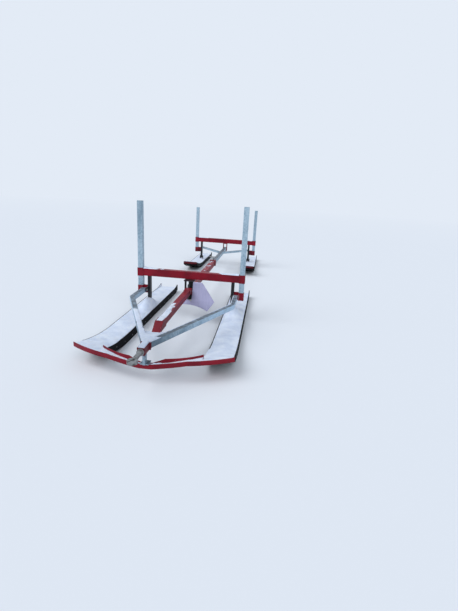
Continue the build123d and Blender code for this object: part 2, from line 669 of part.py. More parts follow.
def beam_sleeve():
    """Heavier sleeve round the front end of the centre beam, its nose sloped and closed."""
    wall, slope = CENTRE_SLEEVE_WALL, CENTRE_SLEEVE_SLOPE
    front = CENTRE_SLEEVE_FRONT_Y
    back = front + CENTRE_SLEEVE_LENGTH
    half = CENTRE_SLEEVE / 2
    low, high = POLE_Z - half, POLE_Z + half
    outer = Polyline((front, low), (front + slope, high), (back, high), (back, low), close=True)
    lean = slope / CENTRE_SLEEVE
    set_in = wall * math.hypot(1, lean)
    inner = Polyline(
        (front + set_in + lean * wall, low + wall), (front + set_in + slope - lean * wall, high - wall),
        (back, high - wall), (back, low + wall), close=True,
    )
    room = half - wall
    return prism_x(outer, -half, half) - prism_x(inner, -room, room)


def coupler():
    """Coupler block with a flange plate over the ends of the arms."""
    half, wide = COUPLER_WIDTH / 2, COUPLER_FLANGE_WIDTH / 2
    body = block(-half, half, COUPLER_FRONT_Y, COUPLER_REAR_Y, COUPLER_BASE_Z, COUPLER_TOP_Z)
    flange_y = COUPLER_REAR_Y - COUPLER_FLANGE
    body += block(-wide, wide, flange_y, COUPLER_REAR_Y, COUPLER_BASE_Z, COUPLER_TOP_Z)
    return body - rod_y(EYE_SHANK_RADIUS + PIN_FIT, COUPLER_FRONT_Y, COUPLER_REAR_Y, 0, EYE_Z)


def tow_eye():
    """Forged eye on a round shank through the coupler block."""
    low, high = EYE_Z - EYE_PLATE / 2, EYE_Z + EYE_PLATE / 2
    shank = rod_y(EYE_SHANK_RADIUS, EYE_Y + EYE_HOLE_RADIUS, COUPLER_REAR_Y, 0, EYE_Z)
    eye = rod_z(EYE_RADIUS, low, high, 0, EYE_Y) + shank
    back = COUPLER_FRONT_Y - SEAT_GAP
    shoulder = rod_y(EYE_SHOULDER_RADIUS, back - EYE_SHOULDER, back, 0, EYE_Z)
    return eye + shoulder - rod_z(EYE_HOLE_RADIUS, EYE_Z - EYE_RADIUS, EYE_Z + EYE_RADIUS, 0, EYE_Y)


def rest_strut():
    """Short strut under the coupler; parked, its foot lies on the crossbar's flanges."""
    low = NOSE_LOW_Z + SEAT_GAP
    middle = -NOSE_APEX + NOSE_WIDTH_MIDDLE / 2
    half, wide, foot = STRUT_WIDTH / 2, STRUT_FOOT_WIDTH / 2, STRUT_FOOT / 2
    rear = COUPLER_REAR_Y - COUPLER_FLANGE
    strut = block(-half, half, rear - STRUT_DEPTH, rear, low, COUPLER_BASE_Z)
    return strut + block(-wide, wide, middle - foot, middle + foot, low, low + STRUT_FOOT_PLATE)


def drawbar():
    """All pieces that pitch about the drawbar pins."""
    for side, sign in SIDES.items():
        save(f"drawbar_arm_{side}", drawbar_arm(sign))
    save("drawbar_gusset", gusset())
    save("centre_beam", centre_beam())
    save("centre_beam_sleeve", beam_sleeve())
    save("coupler_block", coupler())
    save("tow_eye", tow_eye())
    save("drawbar_rest_strut", rest_strut())


def pole_yoke():
    """Yoke on the kingpin: a round barrel, a cross web and two ears for the pitch pin."""
    low = HANGER_FLOOR_Z + HANGER_PLATE + YOKE_PLAY
    high = BEAM_BASE_Z - HANGER_PLATE - YOKE_PLAY
    barrel = rod_z(YOKE_TUBE_RADIUS, low, high, 0, KINGPIN_Y)
    inner = POLE_OUTER / 2 + SIDE_PLAY
    outer = inner + YOKE_EAR
    web_end = YOKE_WEB_Y + YOKE_WEB
    bottom, top = POLE_Z - PITCH_EYE, POLE_Z + PITCH_EYE
    yoke = barrel + block(-outer, outer, YOKE_WEB_Y, web_end, bottom, top)
    for x_low, x_high in ((-outer, -inner), (inner, outer)):
        yoke += block(x_low, x_high, YOKE_WEB_Y, PITCH_PIN_Y, bottom, top)
        yoke += rod_x(PITCH_EYE, x_low, x_high, PITCH_PIN_Y, POLE_Z)
    yoke -= rod_x(PITCH_PIN_RADIUS + PIN_FIT, -outer, outer, PITCH_PIN_Y, POLE_Z)
    return yoke - rod_z(KINGPIN_RADIUS + PIN_FIT, low, high, 0, KINGPIN_Y)


def pole():
    """Yoke, outer tube with its clamp collar, and the pins."""
    ear = POLE_OUTER / 2 + SIDE_PLAY + YOKE_EAR
    wall = (POLE_OUTER - POLE_INNER) / 2 - SEAT_GAP
    outer = tube_y(POLE_OUTER, POLE_OUTER, wall, POLE_FRONT_Y, POLE_OUTER_END_Y, POLE_Z)
    outer -= rod_x(PITCH_PIN_RADIUS + PIN_FIT, -POLE_OUTER, POLE_OUTER, PITCH_PIN_Y, POLE_Z)
    collar_y = POLE_OUTER_END_Y - COLLAR_LENGTH
    hole_y = POLE_OUTER_END_Y - COLLAR_LENGTH / 2
    half = POLE_OUTER / 2 + SEAT_GAP + COLLAR_WALL
    collar = block(-half, half, collar_y, POLE_OUTER_END_Y, POLE_Z - half, POLE_Z + half)
    room = POLE_OUTER / 2 + SEAT_GAP
    collar -= block(-room, room, collar_y, POLE_OUTER_END_Y, POLE_Z - room, POLE_Z + room)
    hole = rod_z(CLAMP_RADIUS + PIN_FIT, POLE_Z, POLE_Z + half, 0, hole_y)
    tip = POLE_Z + POLE_INNER / 2 + SEAT_GAP
    head = POLE_Z + half + CLAMP_STICKOUT
    screw = rod_z(CLAMP_RADIUS, tip, head, 0, hole_y)
    screw += rod_x(CLAMP_HANDLE_RADIUS, -CLAMP_HANDLE / 2, CLAMP_HANDLE / 2, hole_y, head)
    save("pole_yoke", pole_yoke())
    pin = headed_pin_x(PITCH_PIN_RADIUS, -ear, ear, PITCH_PIN_Y, POLE_Z, PITCH_PIN_RADIUS * 1.6, 6)
    save("pole_pitch_pin", pin)
    save("pole_outer_tube", outer - hole)
    save("pole_clamp_collar", collar - hole)
    save("pole_clamp_screw", screw)
    back = BUNK_SPACING + POLE_TAIL
    save("pole_inner_tube", tube_y(POLE_INNER, POLE_INNER, POLE_WALL, POLE_INNER_START_Y, back, POLE_Z))


def rear_saddle():
    """Saddle that hangs from the rear bunk and holds the pole's inner tube."""
    y_low, y_high = BUNK_SPACING - SADDLE_LENGTH / 2, BUNK_SPACING + SADDLE_LENGTH / 2
    room = POLE_INNER / 2
    outer = room + SADDLE_PLATE
    saddle = block(-outer, outer, y_low, y_high, POLE_Z - outer, BEAM_BASE_Z)
    top_room = BEAM_BASE_Z - SADDLE_PLATE
    return saddle - block(-room, room, y_low, y_high, POLE_Z - room, top_room)


def rear_stay(sign):
    """Diagonal stay from the pole's side to the inner face of a rear post."""
    start = (POLE_INNER / 2, STAY_FRONT_Y)
    end = (POST_X - POST_WIDTH / 2, BUNK_SPACING)
    run_x, run_y = end[0] - start[0], end[1] - start[1]
    length = math.hypot(run_x, run_y)
    angle = math.degrees(math.atan2(run_y, run_x))
    half = STAY_SIZE / 2
    inner = half - STAY_WALL
    long = length + 2 * STAY_SIZE
    bar = Box(long, STAY_SIZE, STAY_SIZE) - Box(long, 2 * inner, 2 * inner)
    middle = ((start[0] + end[0]) / 2, (start[1] + end[1]) / 2, POLE_Z)
    bar = Pos(*middle) * Rot(0, 0, angle) * bar
    bar &= block(start[0], end[0], 0, CUT, 0, CUT)
    return bar if sign > 0 else mirror(bar, Plane.YZ)


def rear_frame():
    """Posts, saddle and stays of the rear sledge with its rocking pins."""
    save("rear_saddle", rear_saddle())
    for side, sign in SIDES.items():
        save(f"rear_post_{side}", rear_post(sign))
        save(f"rear_stay_{side}", rear_stay(sign))
    pins = []
    face = POST_WIDTH / 2 + SIDE_PLAY + ROCK_LUG
    for sign in SIDES.values():
        low, high = sign * POST_X - face, sign * POST_X + face
        head_radius = ROCK_PIN_RADIUS * 1.6
        pins.append(headed_pin_x(ROCK_PIN_RADIUS, low, high, BUNK_SPACING, ROCK_PIN_Z, head_radius, 6))
    save("rear_ski_pins", *pins)


def front_frame():
    """Brackets, posts, hanger and deflector of the front sledge."""
    save("front_ski_brackets", *(front_bracket(sign) for sign in SIDES.values()))
    for side, sign in SIDES.items():
        save(f"front_post_{side}", front_post(sign))
    save("front_hanger", front_hanger())
    save("kingpin", kingpin())
    save("drawbar_pins", *drawbar_pins())
    save("snow_deflector", snow_deflector())


front_skis()
front_frame()
bunk("front", 0, FRONT_STAKE_TOP, True)
drawbar()
pole()
rear_frame()
bunk("rear", BUNK_SPACING, REAR_STAKE_TOP, False)
rear_skis()
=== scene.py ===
"""Looks of the towed steel timber sledge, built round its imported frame.

Every length is in metres in the row frame: +X to the right seen from the front, +Y to the rear,
+Z up. The frame's own solids keep their shape and get their finishes here, and the snow that
lies on the sledge, its welds, bolts, pins and rivets are added as pieces that ride on its bodies.
"""

import json
import logging
import math
from collections.abc import Callable, Sequence
from dataclasses import dataclass, replace
from enum import Enum
from typing import Any, ClassVar

import bmesh
import bpy
from mathutils import Matrix, Vector, noise
from mathutils.bvhtree import BVHTree


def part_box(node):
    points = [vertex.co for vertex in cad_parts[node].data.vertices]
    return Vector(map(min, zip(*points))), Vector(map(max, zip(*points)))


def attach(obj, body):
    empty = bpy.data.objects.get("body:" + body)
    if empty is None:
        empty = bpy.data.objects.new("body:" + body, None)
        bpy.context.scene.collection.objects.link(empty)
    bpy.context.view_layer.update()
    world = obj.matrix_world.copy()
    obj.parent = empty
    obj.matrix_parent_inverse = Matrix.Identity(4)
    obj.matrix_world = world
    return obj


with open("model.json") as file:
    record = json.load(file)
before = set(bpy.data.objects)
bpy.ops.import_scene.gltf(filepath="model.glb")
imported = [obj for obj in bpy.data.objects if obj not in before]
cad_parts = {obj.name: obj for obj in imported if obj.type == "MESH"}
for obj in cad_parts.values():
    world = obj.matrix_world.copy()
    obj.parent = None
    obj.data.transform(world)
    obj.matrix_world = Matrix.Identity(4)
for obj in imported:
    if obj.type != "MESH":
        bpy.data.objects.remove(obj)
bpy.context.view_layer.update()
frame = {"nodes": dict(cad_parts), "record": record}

log = logging.getLogger("sledge")

MM = 0.001
UP = Vector((0, 0, 1))
ACROSS = Vector((1, 0, 0))
REARWARD = Vector((0, 1, 0))


class Side(Enum):
    """The two sides of the sledge, with the sign of X."""

    LEFT = -1
    RIGHT = 1

    @property
    def word(self) -> str:
        """The side as it is written in the frame's names."""
        return self.name.lower()


class End(Enum):
    """The two ski sledges, with the body that carries each bunk."""

    FRONT = "front_sledge"
    REAR = "rear_sledge"

    def node(self, what: str, side: Side | None = None) -> str:
        """The name of a node at this end, such as front_post_left."""
        return "_".join([self.name.lower(), what] + ([side.word] if side else []))

    def ski_body(self, side: Side) -> str:
        """The body of a ski: the front ones are rigid with their sledge, the rear ones rock."""
        return self.value if self is End.FRONT else f"rear_ski_{side.word}"


class Slot(Enum):
    """The record's material slots."""

    RED = "red_paint"
    BLACK = "black_paint"
    ZINC = "galvanised_steel"
    PLASTIC = "ski_plastic"
    PIN = "pin_steel"
    SHEET = "deflector_sheet"


def linear(code: str) -> tuple[float, float, float, float]:
    """Turn an sRGB hex colour into the linear values that a shader takes.

    Args:
        code: Six hex digits, such as "a51c26".

    Returns:
        Linear red, green and blue with an alpha of 1.
    """
    shares = [int(code[i : i + 2], 16) / 255 for i in (0, 2, 4)]
    low = 0.04045
    values = [s / 12.92 if s <= low else ((s + 0.055) / 1.055) ** 2.4 for s in shares]
    return (*values, 1.0)


def per_metre(size_mm: float) -> float:
    """The texture scale that repeats a pattern about once in so many millimetres."""
    return 1 / (size_mm * MM)


def held(value: float) -> float:
    """A value held between 0 and 1."""
    return min(max(value, 0.0), 1.0)


def swell(share: float, edge: float) -> float:
    """A rounded edge: 0 at the ends of a share from 0 to 1, and 1 further in than edge."""
    near = min(share, 1 - share) / edge
    return math.sqrt(max(0.0, 1 - (1 - min(near, 1.0)) ** 2))


def circle(sides: int) -> list[tuple[float, float]]:
    """The cosines and sines of evenly spaced angles round a circle."""
    angles = [2 * math.pi * i / sides for i in range(sides)]
    return [(math.cos(a), math.sin(a)) for a in angles]


def middle_y(node: str) -> float:
    """The middle of a node along Y."""
    low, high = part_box(node)
    return (low.y + high.y) / 2


@dataclass(frozen=True)
class Blotches:
    """Soft irregular blotches, as a value that is held at both ends of its range.

    Attributes:
        size_mm: Their size.
        detail: How many finer layers they have.
        rough: The strength of the finer layers.
        span: The noise's values at which the range starts and ends.
        to: The values that the range gives there.
        stretch: Scales by axis for blotches that run one way, under 1 where they are long.
    """

    size_mm: float
    detail: float = 3.0
    rough: float = 0.55
    span: tuple[float, float] = (0.0, 1.0)
    to: tuple[float, float] = (0.0, 1.0)
    stretch: tuple[float, float, float] | None = None


@dataclass(frozen=True)
class Weather:
    """What a winter leaves on the sledge, with the painted shade and painted light, and where.

    A place is given as a pair along an axis of the frame: where there is none of the trace, and
    where it is full. Only film_y gives them the other way round.

    Attributes:
        rime: The patches of frost on upward faces.
        rime_soft: How far below and above the frost's threshold its patches start and are full.
        wear: How the wear of sharp edges is broken up.
        film: The patches of painted shade near the tow eye.
        film_most: How strong the painted shade is at the tow eye.
        film_y: Where it ends along the drawbar.
        film_z: Where it starts over the ground.
        ice: The patches of painted light on the drawbar's arms.
        ice_y: Where the painted light starts.
        ice_end_y: Where it ends, at the hinge.
        slush_most: How strong the painted shade on low front faces is.
        slush_face: The part of a face's normal along Y where it starts, and where it is full.
        slush_y: Where it starts behind the front sledge.
        slush_z: Below which height it lies.
    """

    rime: Blotches = Blotches(42.0, 6, 0.68, to=(0.0, 0.7))
    rime_soft: tuple[float, float] = (0.05, 0.1)
    wear: Blotches = Blotches(16.0, 5, 0.7, (0.46, 0.56))
    # Painted shade near the tow eye.
    film: Blotches = Blotches(80.0, 4, span=(0.3, 0.6), to=(0.6, 1.0))
    film_most: float = 0.55
    film_y: tuple[float, float] = (-2.4, -1.75)
    film_z: tuple[float, float] = (0.17, 0.21)
    # Painted light on the sides of the drawbar's arms.
    ice: Blotches = Blotches(60.0, 4, span=(0.35, 0.65), to=(0.25, 0.6))
    ice_y: tuple[float, float] = (-2.1, -1.6)
    ice_end_y: tuple[float, float] = (-1.07, -1.12)
    # Painted shade on the low front faces of the rear sledge.
    slush_most: float = 0.7
    slush_face: tuple[float, float] = (-0.2, -0.6)
    slush_y: tuple[float, float] = (0.6, 1.0)
    slush_z: tuple[float, float] = (0.3, 0.2)


WEATHER_AND_PAINTED_LIGHT = Weather()


class Nodes:
    """A node tree under construction."""

    def __init__(self, tree: bpy.types.NodeTree) -> None:
        """Take the tree that gets the nodes."""
        self.tree = tree

    def add(
        self, kind: str, *inputs: Any, out: int | str = 0, **settings: Any
    ) -> bpy.types.NodeSocket | None:
        """Add a shader node with its settings and its links.

        Args:
            kind: The node's type, without its ShaderNode prefix.
            inputs: Values, hex colours or output sockets in the order of the node's inputs, or
                one dict that gives them by name or number.
            out: The output that is wanted, by name or number.
            settings: Properties of the node itself.

        Returns:
            The wanted output, or None for a node that has none.
        """
        made = self.tree.nodes.new("ShaderNode" + kind)
        for name, value in settings.items():
            setattr(made, name, value)
        by_key = inputs[0] if inputs and isinstance(inputs[0], dict) else dict(enumerate(inputs))
        for key, value in by_key.items():
            if isinstance(value, bpy.types.NodeSocket):
                self.tree.links.new(value, made.inputs[key])
            else:
                made.inputs[key].default_value = linear(value) if isinstance(value, str) else value
        return made.outputs[out] if made.outputs else None


class Shader(Nodes):
    """A material under construction, with the patterns that the finishes share."""

    def __init__(self, name: str) -> None:
        """Start an empty material with the object's own coordinates.

        Args:
            name: The material's name.
        """
        self.material = bpy.data.materials.new(name)
        self.material.use_nodes = True
        super().__init__(self.material.node_tree)
        self.tree.nodes.clear()
        self.place = self.add("TexCoord", out="Object")

    def clouds(self, kind: Blotches) -> bpy.types.NodeSocket:
        """Spread soft irregular blotches over the surface.

        Args:
            kind: What they are like.

        Returns:
            Their value.
        """
        place = self.place
        if kind.stretch:
            place = self.add("Mapping", {"Vector": place, "Scale": kind.stretch})
        scale = per_metre(kind.size_mm)
        inputs = {"Vector": place, "Scale": scale, "Detail": kind.detail, "Roughness": kind.rough}
        return self.add("MapRange", self.add("TexNoise", inputs), *kind.span, *kind.to)

    def layers(self, base: str, *coats: tuple[bpy.types.NodeSocket, str]) -> bpy.types.NodeSocket:
        """Lay coats over a base colour.

        Args:
            base: The lowest colour.
            coats: The mask and the colour of each coat, from the lowest up.

        Returns:
            The colour that shows.
        """
        colour = base
        for mask, coat in coats:
            colour = self.add("Mix", {0: mask, 6: colour, 7: coat}, out=2, data_type="RGBA")
        return colour

    def raised(
        self, value: bpy.types.NodeSocket, mask: bpy.types.NodeSocket, level: float
    ) -> bpy.types.NodeSocket:
        """A value that is raised to another level where a mask lies."""
        lifted = self.add("Math", mask, level, operation="MULTIPLY")
        return self.add("Math", value, lifted, operation="MAXIMUM")

    def zone(
        self, axis: str, span: tuple[float, float], to: tuple[float, float] = (0.0, 1.0)
    ) -> bpy.types.NodeSocket:
        """A mask that runs from one place to another along an axis of the frame."""
        return self.add("MapRange", self.add("SeparateXYZ", self.place, out=axis), *span, *to)

    def facing_up(self, span: tuple[float, float] = (0.7, 0.95)) -> bpy.types.NodeSocket:
        """A mask of the faces that look up, where frost and dust settle."""
        normal = self.add("NewGeometry", out="Normal")
        return self.add("MapRange", self.add("SeparateXYZ", normal, out="Z"), *span)

    def frost(self, cover: float) -> bpy.types.NodeSocket:
        """Rime on upward faces, broken up as wind and knocks leave it.

        Args:
            cover: The share of an upward face that is white, from 0 to 1.

        Returns:
            The mask of the frost.
        """
        edge = 0.5 + (0.5 - cover) * 0.5
        below, above = WEATHER_AND_PAINTED_LIGHT.rime_soft
        rime = self.clouds(replace(WEATHER_AND_PAINTED_LIGHT.rime, span=(edge - below, edge + above)))
        return self.add("Math", self.facing_up(), rime, operation="MULTIPLY")

    def film(self) -> bpy.types.NodeSocket:
        """Painted shade on the drawbar, strongest near the tow eye.

        Returns:
            The mask of the painted shade.
        """
        reach = self.zone("Y", WEATHER_AND_PAINTED_LIGHT.film_y, (WEATHER_AND_PAINTED_LIGHT.film_most, 0.0))
        high = self.add("Math", reach, self.zone("Z", WEATHER_AND_PAINTED_LIGHT.film_z), operation="MULTIPLY")
        return self.add("Math", high, self.clouds(WEATHER_AND_PAINTED_LIGHT.film), operation="MULTIPLY")

    def ice(self) -> bpy.types.NodeSocket:
        """Painted light: a paler tone on the rear half of the drawbar's arms.

        Returns:
            The mask of the painted light.
        """
        ends = self.zone("Y", WEATHER_AND_PAINTED_LIGHT.ice_end_y)
        arms = self.add("Math", self.zone("Y", WEATHER_AND_PAINTED_LIGHT.ice_y), ends, operation="MULTIPLY")
        return self.add("Math", arms, self.clouds(WEATHER_AND_PAINTED_LIGHT.ice), operation="MULTIPLY")

    def slush(self) -> bpy.types.NodeSocket:
        """Painted shade on the low front faces of the rear sledge.

        Returns:
            The mask of the painted shade.
        """
        normal = self.add("NewGeometry", out="Normal")
        ahead = self.add("SeparateXYZ", normal, out="Y")
        facing = self.add("MapRange", ahead, *WEATHER_AND_PAINTED_LIGHT.slush_face, 0.0, WEATHER_AND_PAINTED_LIGHT.slush_most)
        rear = self.zone("Y", WEATHER_AND_PAINTED_LIGHT.slush_y)
        low = self.add("Math", rear, self.zone("Z", WEATHER_AND_PAINTED_LIGHT.slush_z), operation="MULTIPLY")
        return self.add("Math", low, facing, operation="MULTIPLY")

    def edge_wear(
        self, radius_mm: float, turned: tuple[float, float] = (0.99, 0.9)
    ) -> bpy.types.NodeSocket:
        """Sharp edges, where a coating wears through first.

        Args:
            radius_mm: How far from an edge the wear reaches.
            turned: How alike the flat and the rounded normal are where wear starts and is full.

        Returns:
            The mask of the wear.
        """
        flat = self.add("NewGeometry", out="Normal")
        rounded = self.add("Bevel", radius_mm * MM, samples=4)
        alike = self.add("VectorMath", flat, rounded, out="Value", operation="DOT_PRODUCT")
        edge = self.add("MapRange", alike, *turned)
        return self.add("Math", edge, self.clouds(WEATHER_AND_PAINTED_LIGHT.wear), operation="MULTIPLY")

    def close(
        self, height: bpy.types.NodeSocket, depth_mm: float, strength: float = 1.0, **sockets: Any
    ) -> bpy.types.Material:
        """Give the surface its relief and its shader, and finish the material.

        Args:
            height: The relief's height, from about 0 to 1.
            depth_mm: The real depth of that range.
            strength: How much of the relief shows.
            sockets: Inputs of the principled shader, with underscores for spaces.

        Returns:
            The finished material.
        """
        relief = {"Height": height, "Distance": depth_mm * MM, "Strength": strength}
        inputs = {name.replace("_", " "): value for name, value in sockets.items()}
        inputs["Normal"] = self.add("Bump", relief)
        self.add("OutputMaterial", {"Surface": self.add("BsdfPrincipled", inputs)})
        return self.material


@dataclass(frozen=True)
class Snow:
    """Dry wind-packed snow: white, very rough, with a blue cast where it is thin and painted shade in
    blotches.

    Real grains are under 1 mm. They are drawn at 5 mm, so that they show as a soft grain.
    """

    lit: str = "dce6f5"
    # Painted shade: a darker blue laid in blotches.
    hollow: str = "c5d2e8"
    # Darker snow near the tow eye: painted shade, and partly soot.
    dirty: str = "94a1b6"
    hollows: Blotches = Blotches(90.0, 5, span=(0.35, 0.7))
    lumps: Blotches = Blotches(28.0, 4, 0.6, to=(0.0, 2.0))
    grain: Blotches = Blotches(5.0, 3, 0.7)
    relief_mm: float = 1.6
    relief_strength: float = 0.7
    roughness: float = 0.85
    glow: float = 0.15
    glow_radius: tuple[float, float, float] = (0.012, 0.014, 0.018)

    def material(self) -> bpy.types.Material:
        """Build the shader.

        Returns:
            The material.
        """
        s = Shader("packed_snow")
        # Painted shade: blotches of darker blue snow.
        hollows = s.clouds(self.hollows)
        return s.close(
            s.add("Math", s.clouds(self.lumps), s.clouds(self.grain), operation="ADD"),
            depth_mm=self.relief_mm,
            strength=self.relief_strength,
            # Near the tow eye the snow is darker: painted shade, and partly soot.
            Base_Color=s.layers(self.lit, (hollows, self.hollow), (s.film(), self.dirty)),
            Roughness=self.roughness,
            Subsurface_Weight=self.glow,
            Subsurface_Radius=self.glow_radius,
        )


@dataclass(frozen=True)
class HotDipZinc:
    """Hot-dip galvanised mild steel, weathered for a few winters.

    Zinc freezes in flat crystals, the spangle, which catch the light each in their own way.
    A season outside dulls them to a blue-grey with pale carbonate blooms and darker runs.
    Faces that look up are darkened in patches, and the drawbar darkens towards its tow eye: both are
    painted shade. The sides of the drawbar's arms are paler towards the hinge, which is painted light.
    The zinc's own grain is under 1 mm, and is drawn at 5 mm, to show.
    """

    bright: str = "b4c9d6"
    dull: str = "8ea7b8"
    stain: str = "62798a"
    bloom: str = "c6d5df"
    # Painted shade on upward faces.
    wet: str = "3b4552"
    # Painted shade towards the tow eye.
    film: str = "3d4a56"
    # Painted light: a paler tone on the sides of the drawbar's arms.
    ice: str = "b4d0ec"
    spangle_mm: float = 11.0
    spangle_tones: tuple[float, float] = (0.1, 0.9)
    spangle_steps: float = 0.15
    spangle_gloss: tuple[float, float] = (0.36, 0.52)
    runs: Blotches = Blotches(150.0, 5, 0.6, (0.48, 0.72), (0.0, 0.75), (1.0, 1.0, 0.22))
    blooms: Blotches = Blotches(70.0, 6, 0.7, (0.58, 0.7), (0.0, 0.4))
    # The patches of the painted shade on upward faces.
    wet_tops: Blotches = Blotches(55.0, 4, span=(0.3, 0.55), to=(0.55, 0.95))
    grain: Blotches = Blotches(5.0, 2)
    relief_mm: float = 0.25
    metallic: float = 0.72
    frost_cover: float = 0.12

    def material(self) -> bpy.types.Material:
        """Build the shader.

        Returns:
            The material.
        """
        s = Shader("hot_dip_zinc")
        cells = {"Vector": s.place, "Scale": per_metre(self.spangle_mm)}
        crystal = s.add("TexVoronoi", cells, out="Color")
        tone = s.add("SeparateColor", crystal, out="Red")
        # Painted shade: darker patches on upward faces. The side mask is everywhere else.
        top = s.add("Math", s.facing_up(), s.clouds(self.wet_tops), operation="MULTIPLY")
        side = s.add("Math", 1.0, top, operation="SUBTRACT")
        frost = s.frost(self.frost_cover)
        colour = s.layers(
            self.bright,
            (s.add("MapRange", tone, 0.0, 1.0, *self.spangle_tones), self.dull),
            (s.clouds(self.runs), self.stain),
            (s.clouds(self.blooms), self.bloom),
            # Painted shade on upward faces.
            (top, self.wet),
            # Painted shade towards the tow eye.
            (s.film(), self.film),
            # Painted light on the arms' sides, towards the hinge.
            (s.add("Math", s.ice(), side, operation="MULTIPLY"), self.ice),
            (frost, Snow.lit),
        )
        covered = s.add("Math", frost, top, operation="MAXIMUM")
        gloss = s.add("MapRange", tone, 0.0, 1.0, *self.spangle_gloss)
        steps = s.add("Math", tone, self.spangle_steps, operation="MULTIPLY")
        return s.close(
            s.add("Math", steps, s.clouds(self.grain), operation="ADD"),
            depth_mm=self.relief_mm,
            Base_Color=colour,
            Metallic=s.add("MapRange", covered, 0.0, 1.0, self.metallic, 0.0),
            Roughness=s.raised(gloss, frost, Snow.roughness),
        )


@dataclass(frozen=True)
class RedEnamel:
    """Red alkyd enamel brushed over welded steel.

    The coat is glossy where it is fresh, chalks a little on top, and is knocked off the edges
    down to brown steel. Stones chip it, and grime darkens it in patches. Its brush marks are
    about 1 mm wide, and are drawn at 4 mm, to show.
    """

    coat: str = "861829"
    shade: str = "6e1222"
    chalk: str = "932a38"
    grime: str = "541522"
    bare: str = "3d2c2b"
    # Painted shade, near the tow eye and on the rear sledge's low front faces.
    film: str = "3a1a20"
    shades: Blotches = Blotches(260.0, 4, span=(0.35, 0.65))
    chalky: Blotches = Blotches(35.0, 5, span=(0.45, 0.7), to=(0.0, 0.3))
    chalky_tops: tuple[float, float] = (0.5, 1.0)
    grimy: Blotches = Blotches(130.0, 6, 0.62, (0.47, 0.72), (0.0, 0.45))
    scuffs: Blotches = Blotches(9.0, 3, 0.5, (0.67, 0.72), (0.0, 0.7), (1.0, 0.12, 1.0))
    chips: Blotches = Blotches(13.0, 3, 0.6, (0.67, 0.7))
    wear_mm: float = 3.5
    brush: Blotches = Blotches(4.0, 2)
    coat_share: float = 0.8
    relief_mm: float = 0.18
    sheen: Blotches = Blotches(30.0, 5, span=(0.3, 0.7), to=(0.34, 0.5))
    bare_roughness: float = 0.65
    specular: float = 0.15
    frost_cover: float = 0.15

    def material(self) -> bpy.types.Material:
        """Build the shader.

        Returns:
            The material.
        """
        s = Shader("red_enamel")
        knocks = s.add("Math", s.clouds(self.scuffs), s.clouds(self.chips), operation="MAXIMUM")
        worn = s.add("Math", s.edge_wear(self.wear_mm), knocks, operation="MAXIMUM")
        tops = s.facing_up(self.chalky_tops)
        frost = s.frost(self.frost_cover)
        colour = s.layers(
            self.coat,
            (s.clouds(self.shades), self.shade),
            (s.add("Math", tops, s.clouds(self.chalky), operation="MULTIPLY"), self.chalk),
            (s.clouds(self.grimy), self.grime),
            (worn, self.bare),
            # Painted shade near the tow eye and on the rear sledge's low front faces.
            (s.add("Math", s.film(), s.slush(), operation="MAXIMUM"), self.film),
            (frost, Snow.lit),
        )
        gloss = s.raised(s.clouds(self.sheen), worn, self.bare_roughness)
        loss = s.add("Math", worn, self.coat_share, operation="MULTIPLY")
        return s.close(
            s.add("Math", s.clouds(self.brush), loss, operation="SUBTRACT"),
            depth_mm=self.relief_mm,
            Base_Color=colour,
            Roughness=s.raised(gloss, frost, Snow.roughness),
            Specular_IOR_Level=self.specular,
        )


@dataclass(frozen=True)
class BlackEnamel:
    """Black chassis enamel over welded steel: semi-gloss, with a dusty grey cast.

    Its brush marks are drawn coarser than the real ones, to show.
    """

    coat: str = "14151a"
    dust: str = "292b32"
    bare: str = "5b5350"
    dusty: Blotches = Blotches(60.0, 6, span=(0.45, 0.75), to=(0.0, 0.6))
    chips: Blotches = Blotches(11.0, 3, 0.6, (0.67, 0.7))
    wear_mm: float = 2.5
    bare_share: float = 0.7
    brush: Blotches = Blotches(5.0, 2)
    relief_mm: float = 0.2
    sheen: Blotches = Blotches(45.0, 5, span=(0.3, 0.7), to=(0.34, 0.5))
    specular: float = 0.35
    frost_cover: float = 0.12

    def material(self) -> bpy.types.Material:
        """Build the shader.

        Returns:
            The material.
        """
        s = Shader("black_enamel")
        worn = s.add("Math", s.edge_wear(self.wear_mm), s.clouds(self.chips), operation="MAXIMUM")
        frost = s.frost(self.frost_cover)
        colour = s.layers(
            self.coat,
            (s.clouds(self.dusty), self.dust),
            (s.add("Math", worn, self.bare_share, operation="MULTIPLY"), self.bare),
            (frost, Snow.lit),
        )
        return s.close(
            s.clouds(self.brush),
            depth_mm=self.relief_mm,
            Base_Color=colour,
            Roughness=s.raised(s.clouds(self.sheen), frost, Snow.roughness),
            Specular_IOR_Level=self.specular,
        )


@dataclass(frozen=True)
class Polyethylene:
    """Extruded high-density polyethylene, black.

    It is waxy and half matt, with fine scratches along the run of the ski and a grey bloom
    where frozen snow has rubbed it. The scratches are drawn coarser than the real ones, to show.
    """

    black: str = "06070b"
    rubbed: str = "111319"
    bloom: str = "30333b"
    scratches: Blotches = Blotches(2.5, 3, 0.6, stretch=(1.0, 0.015, 1.0))
    rubbed_span: tuple[float, ...] = (0.5, 0.75, 0.0, 0.8)
    blooms: Blotches = Blotches(140.0, 5, span=(0.55, 0.75), to=(0.0, 0.18))
    relief_mm: float = 0.15
    sheen: tuple[float, ...] = (0.3, 0.7, 0.55, 0.72)
    specular: float = 0.05
    ior: float = 1.54

    def material(self) -> bpy.types.Material:
        """Build the shader.

        Returns:
            The material.
        """
        s = Shader("black_polyethylene")
        scratches = s.clouds(self.scratches)
        colour = s.layers(
            self.black,
            (s.add("MapRange", scratches, *self.rubbed_span), self.rubbed),
            (s.clouds(self.blooms), self.bloom),
        )
        return s.close(
            scratches,
            depth_mm=self.relief_mm,
            Base_Color=colour,
            Roughness=s.add("MapRange", scratches, *self.sheen),
            IOR=self.ior,
            Specular_IOR_Level=self.specular,
        )


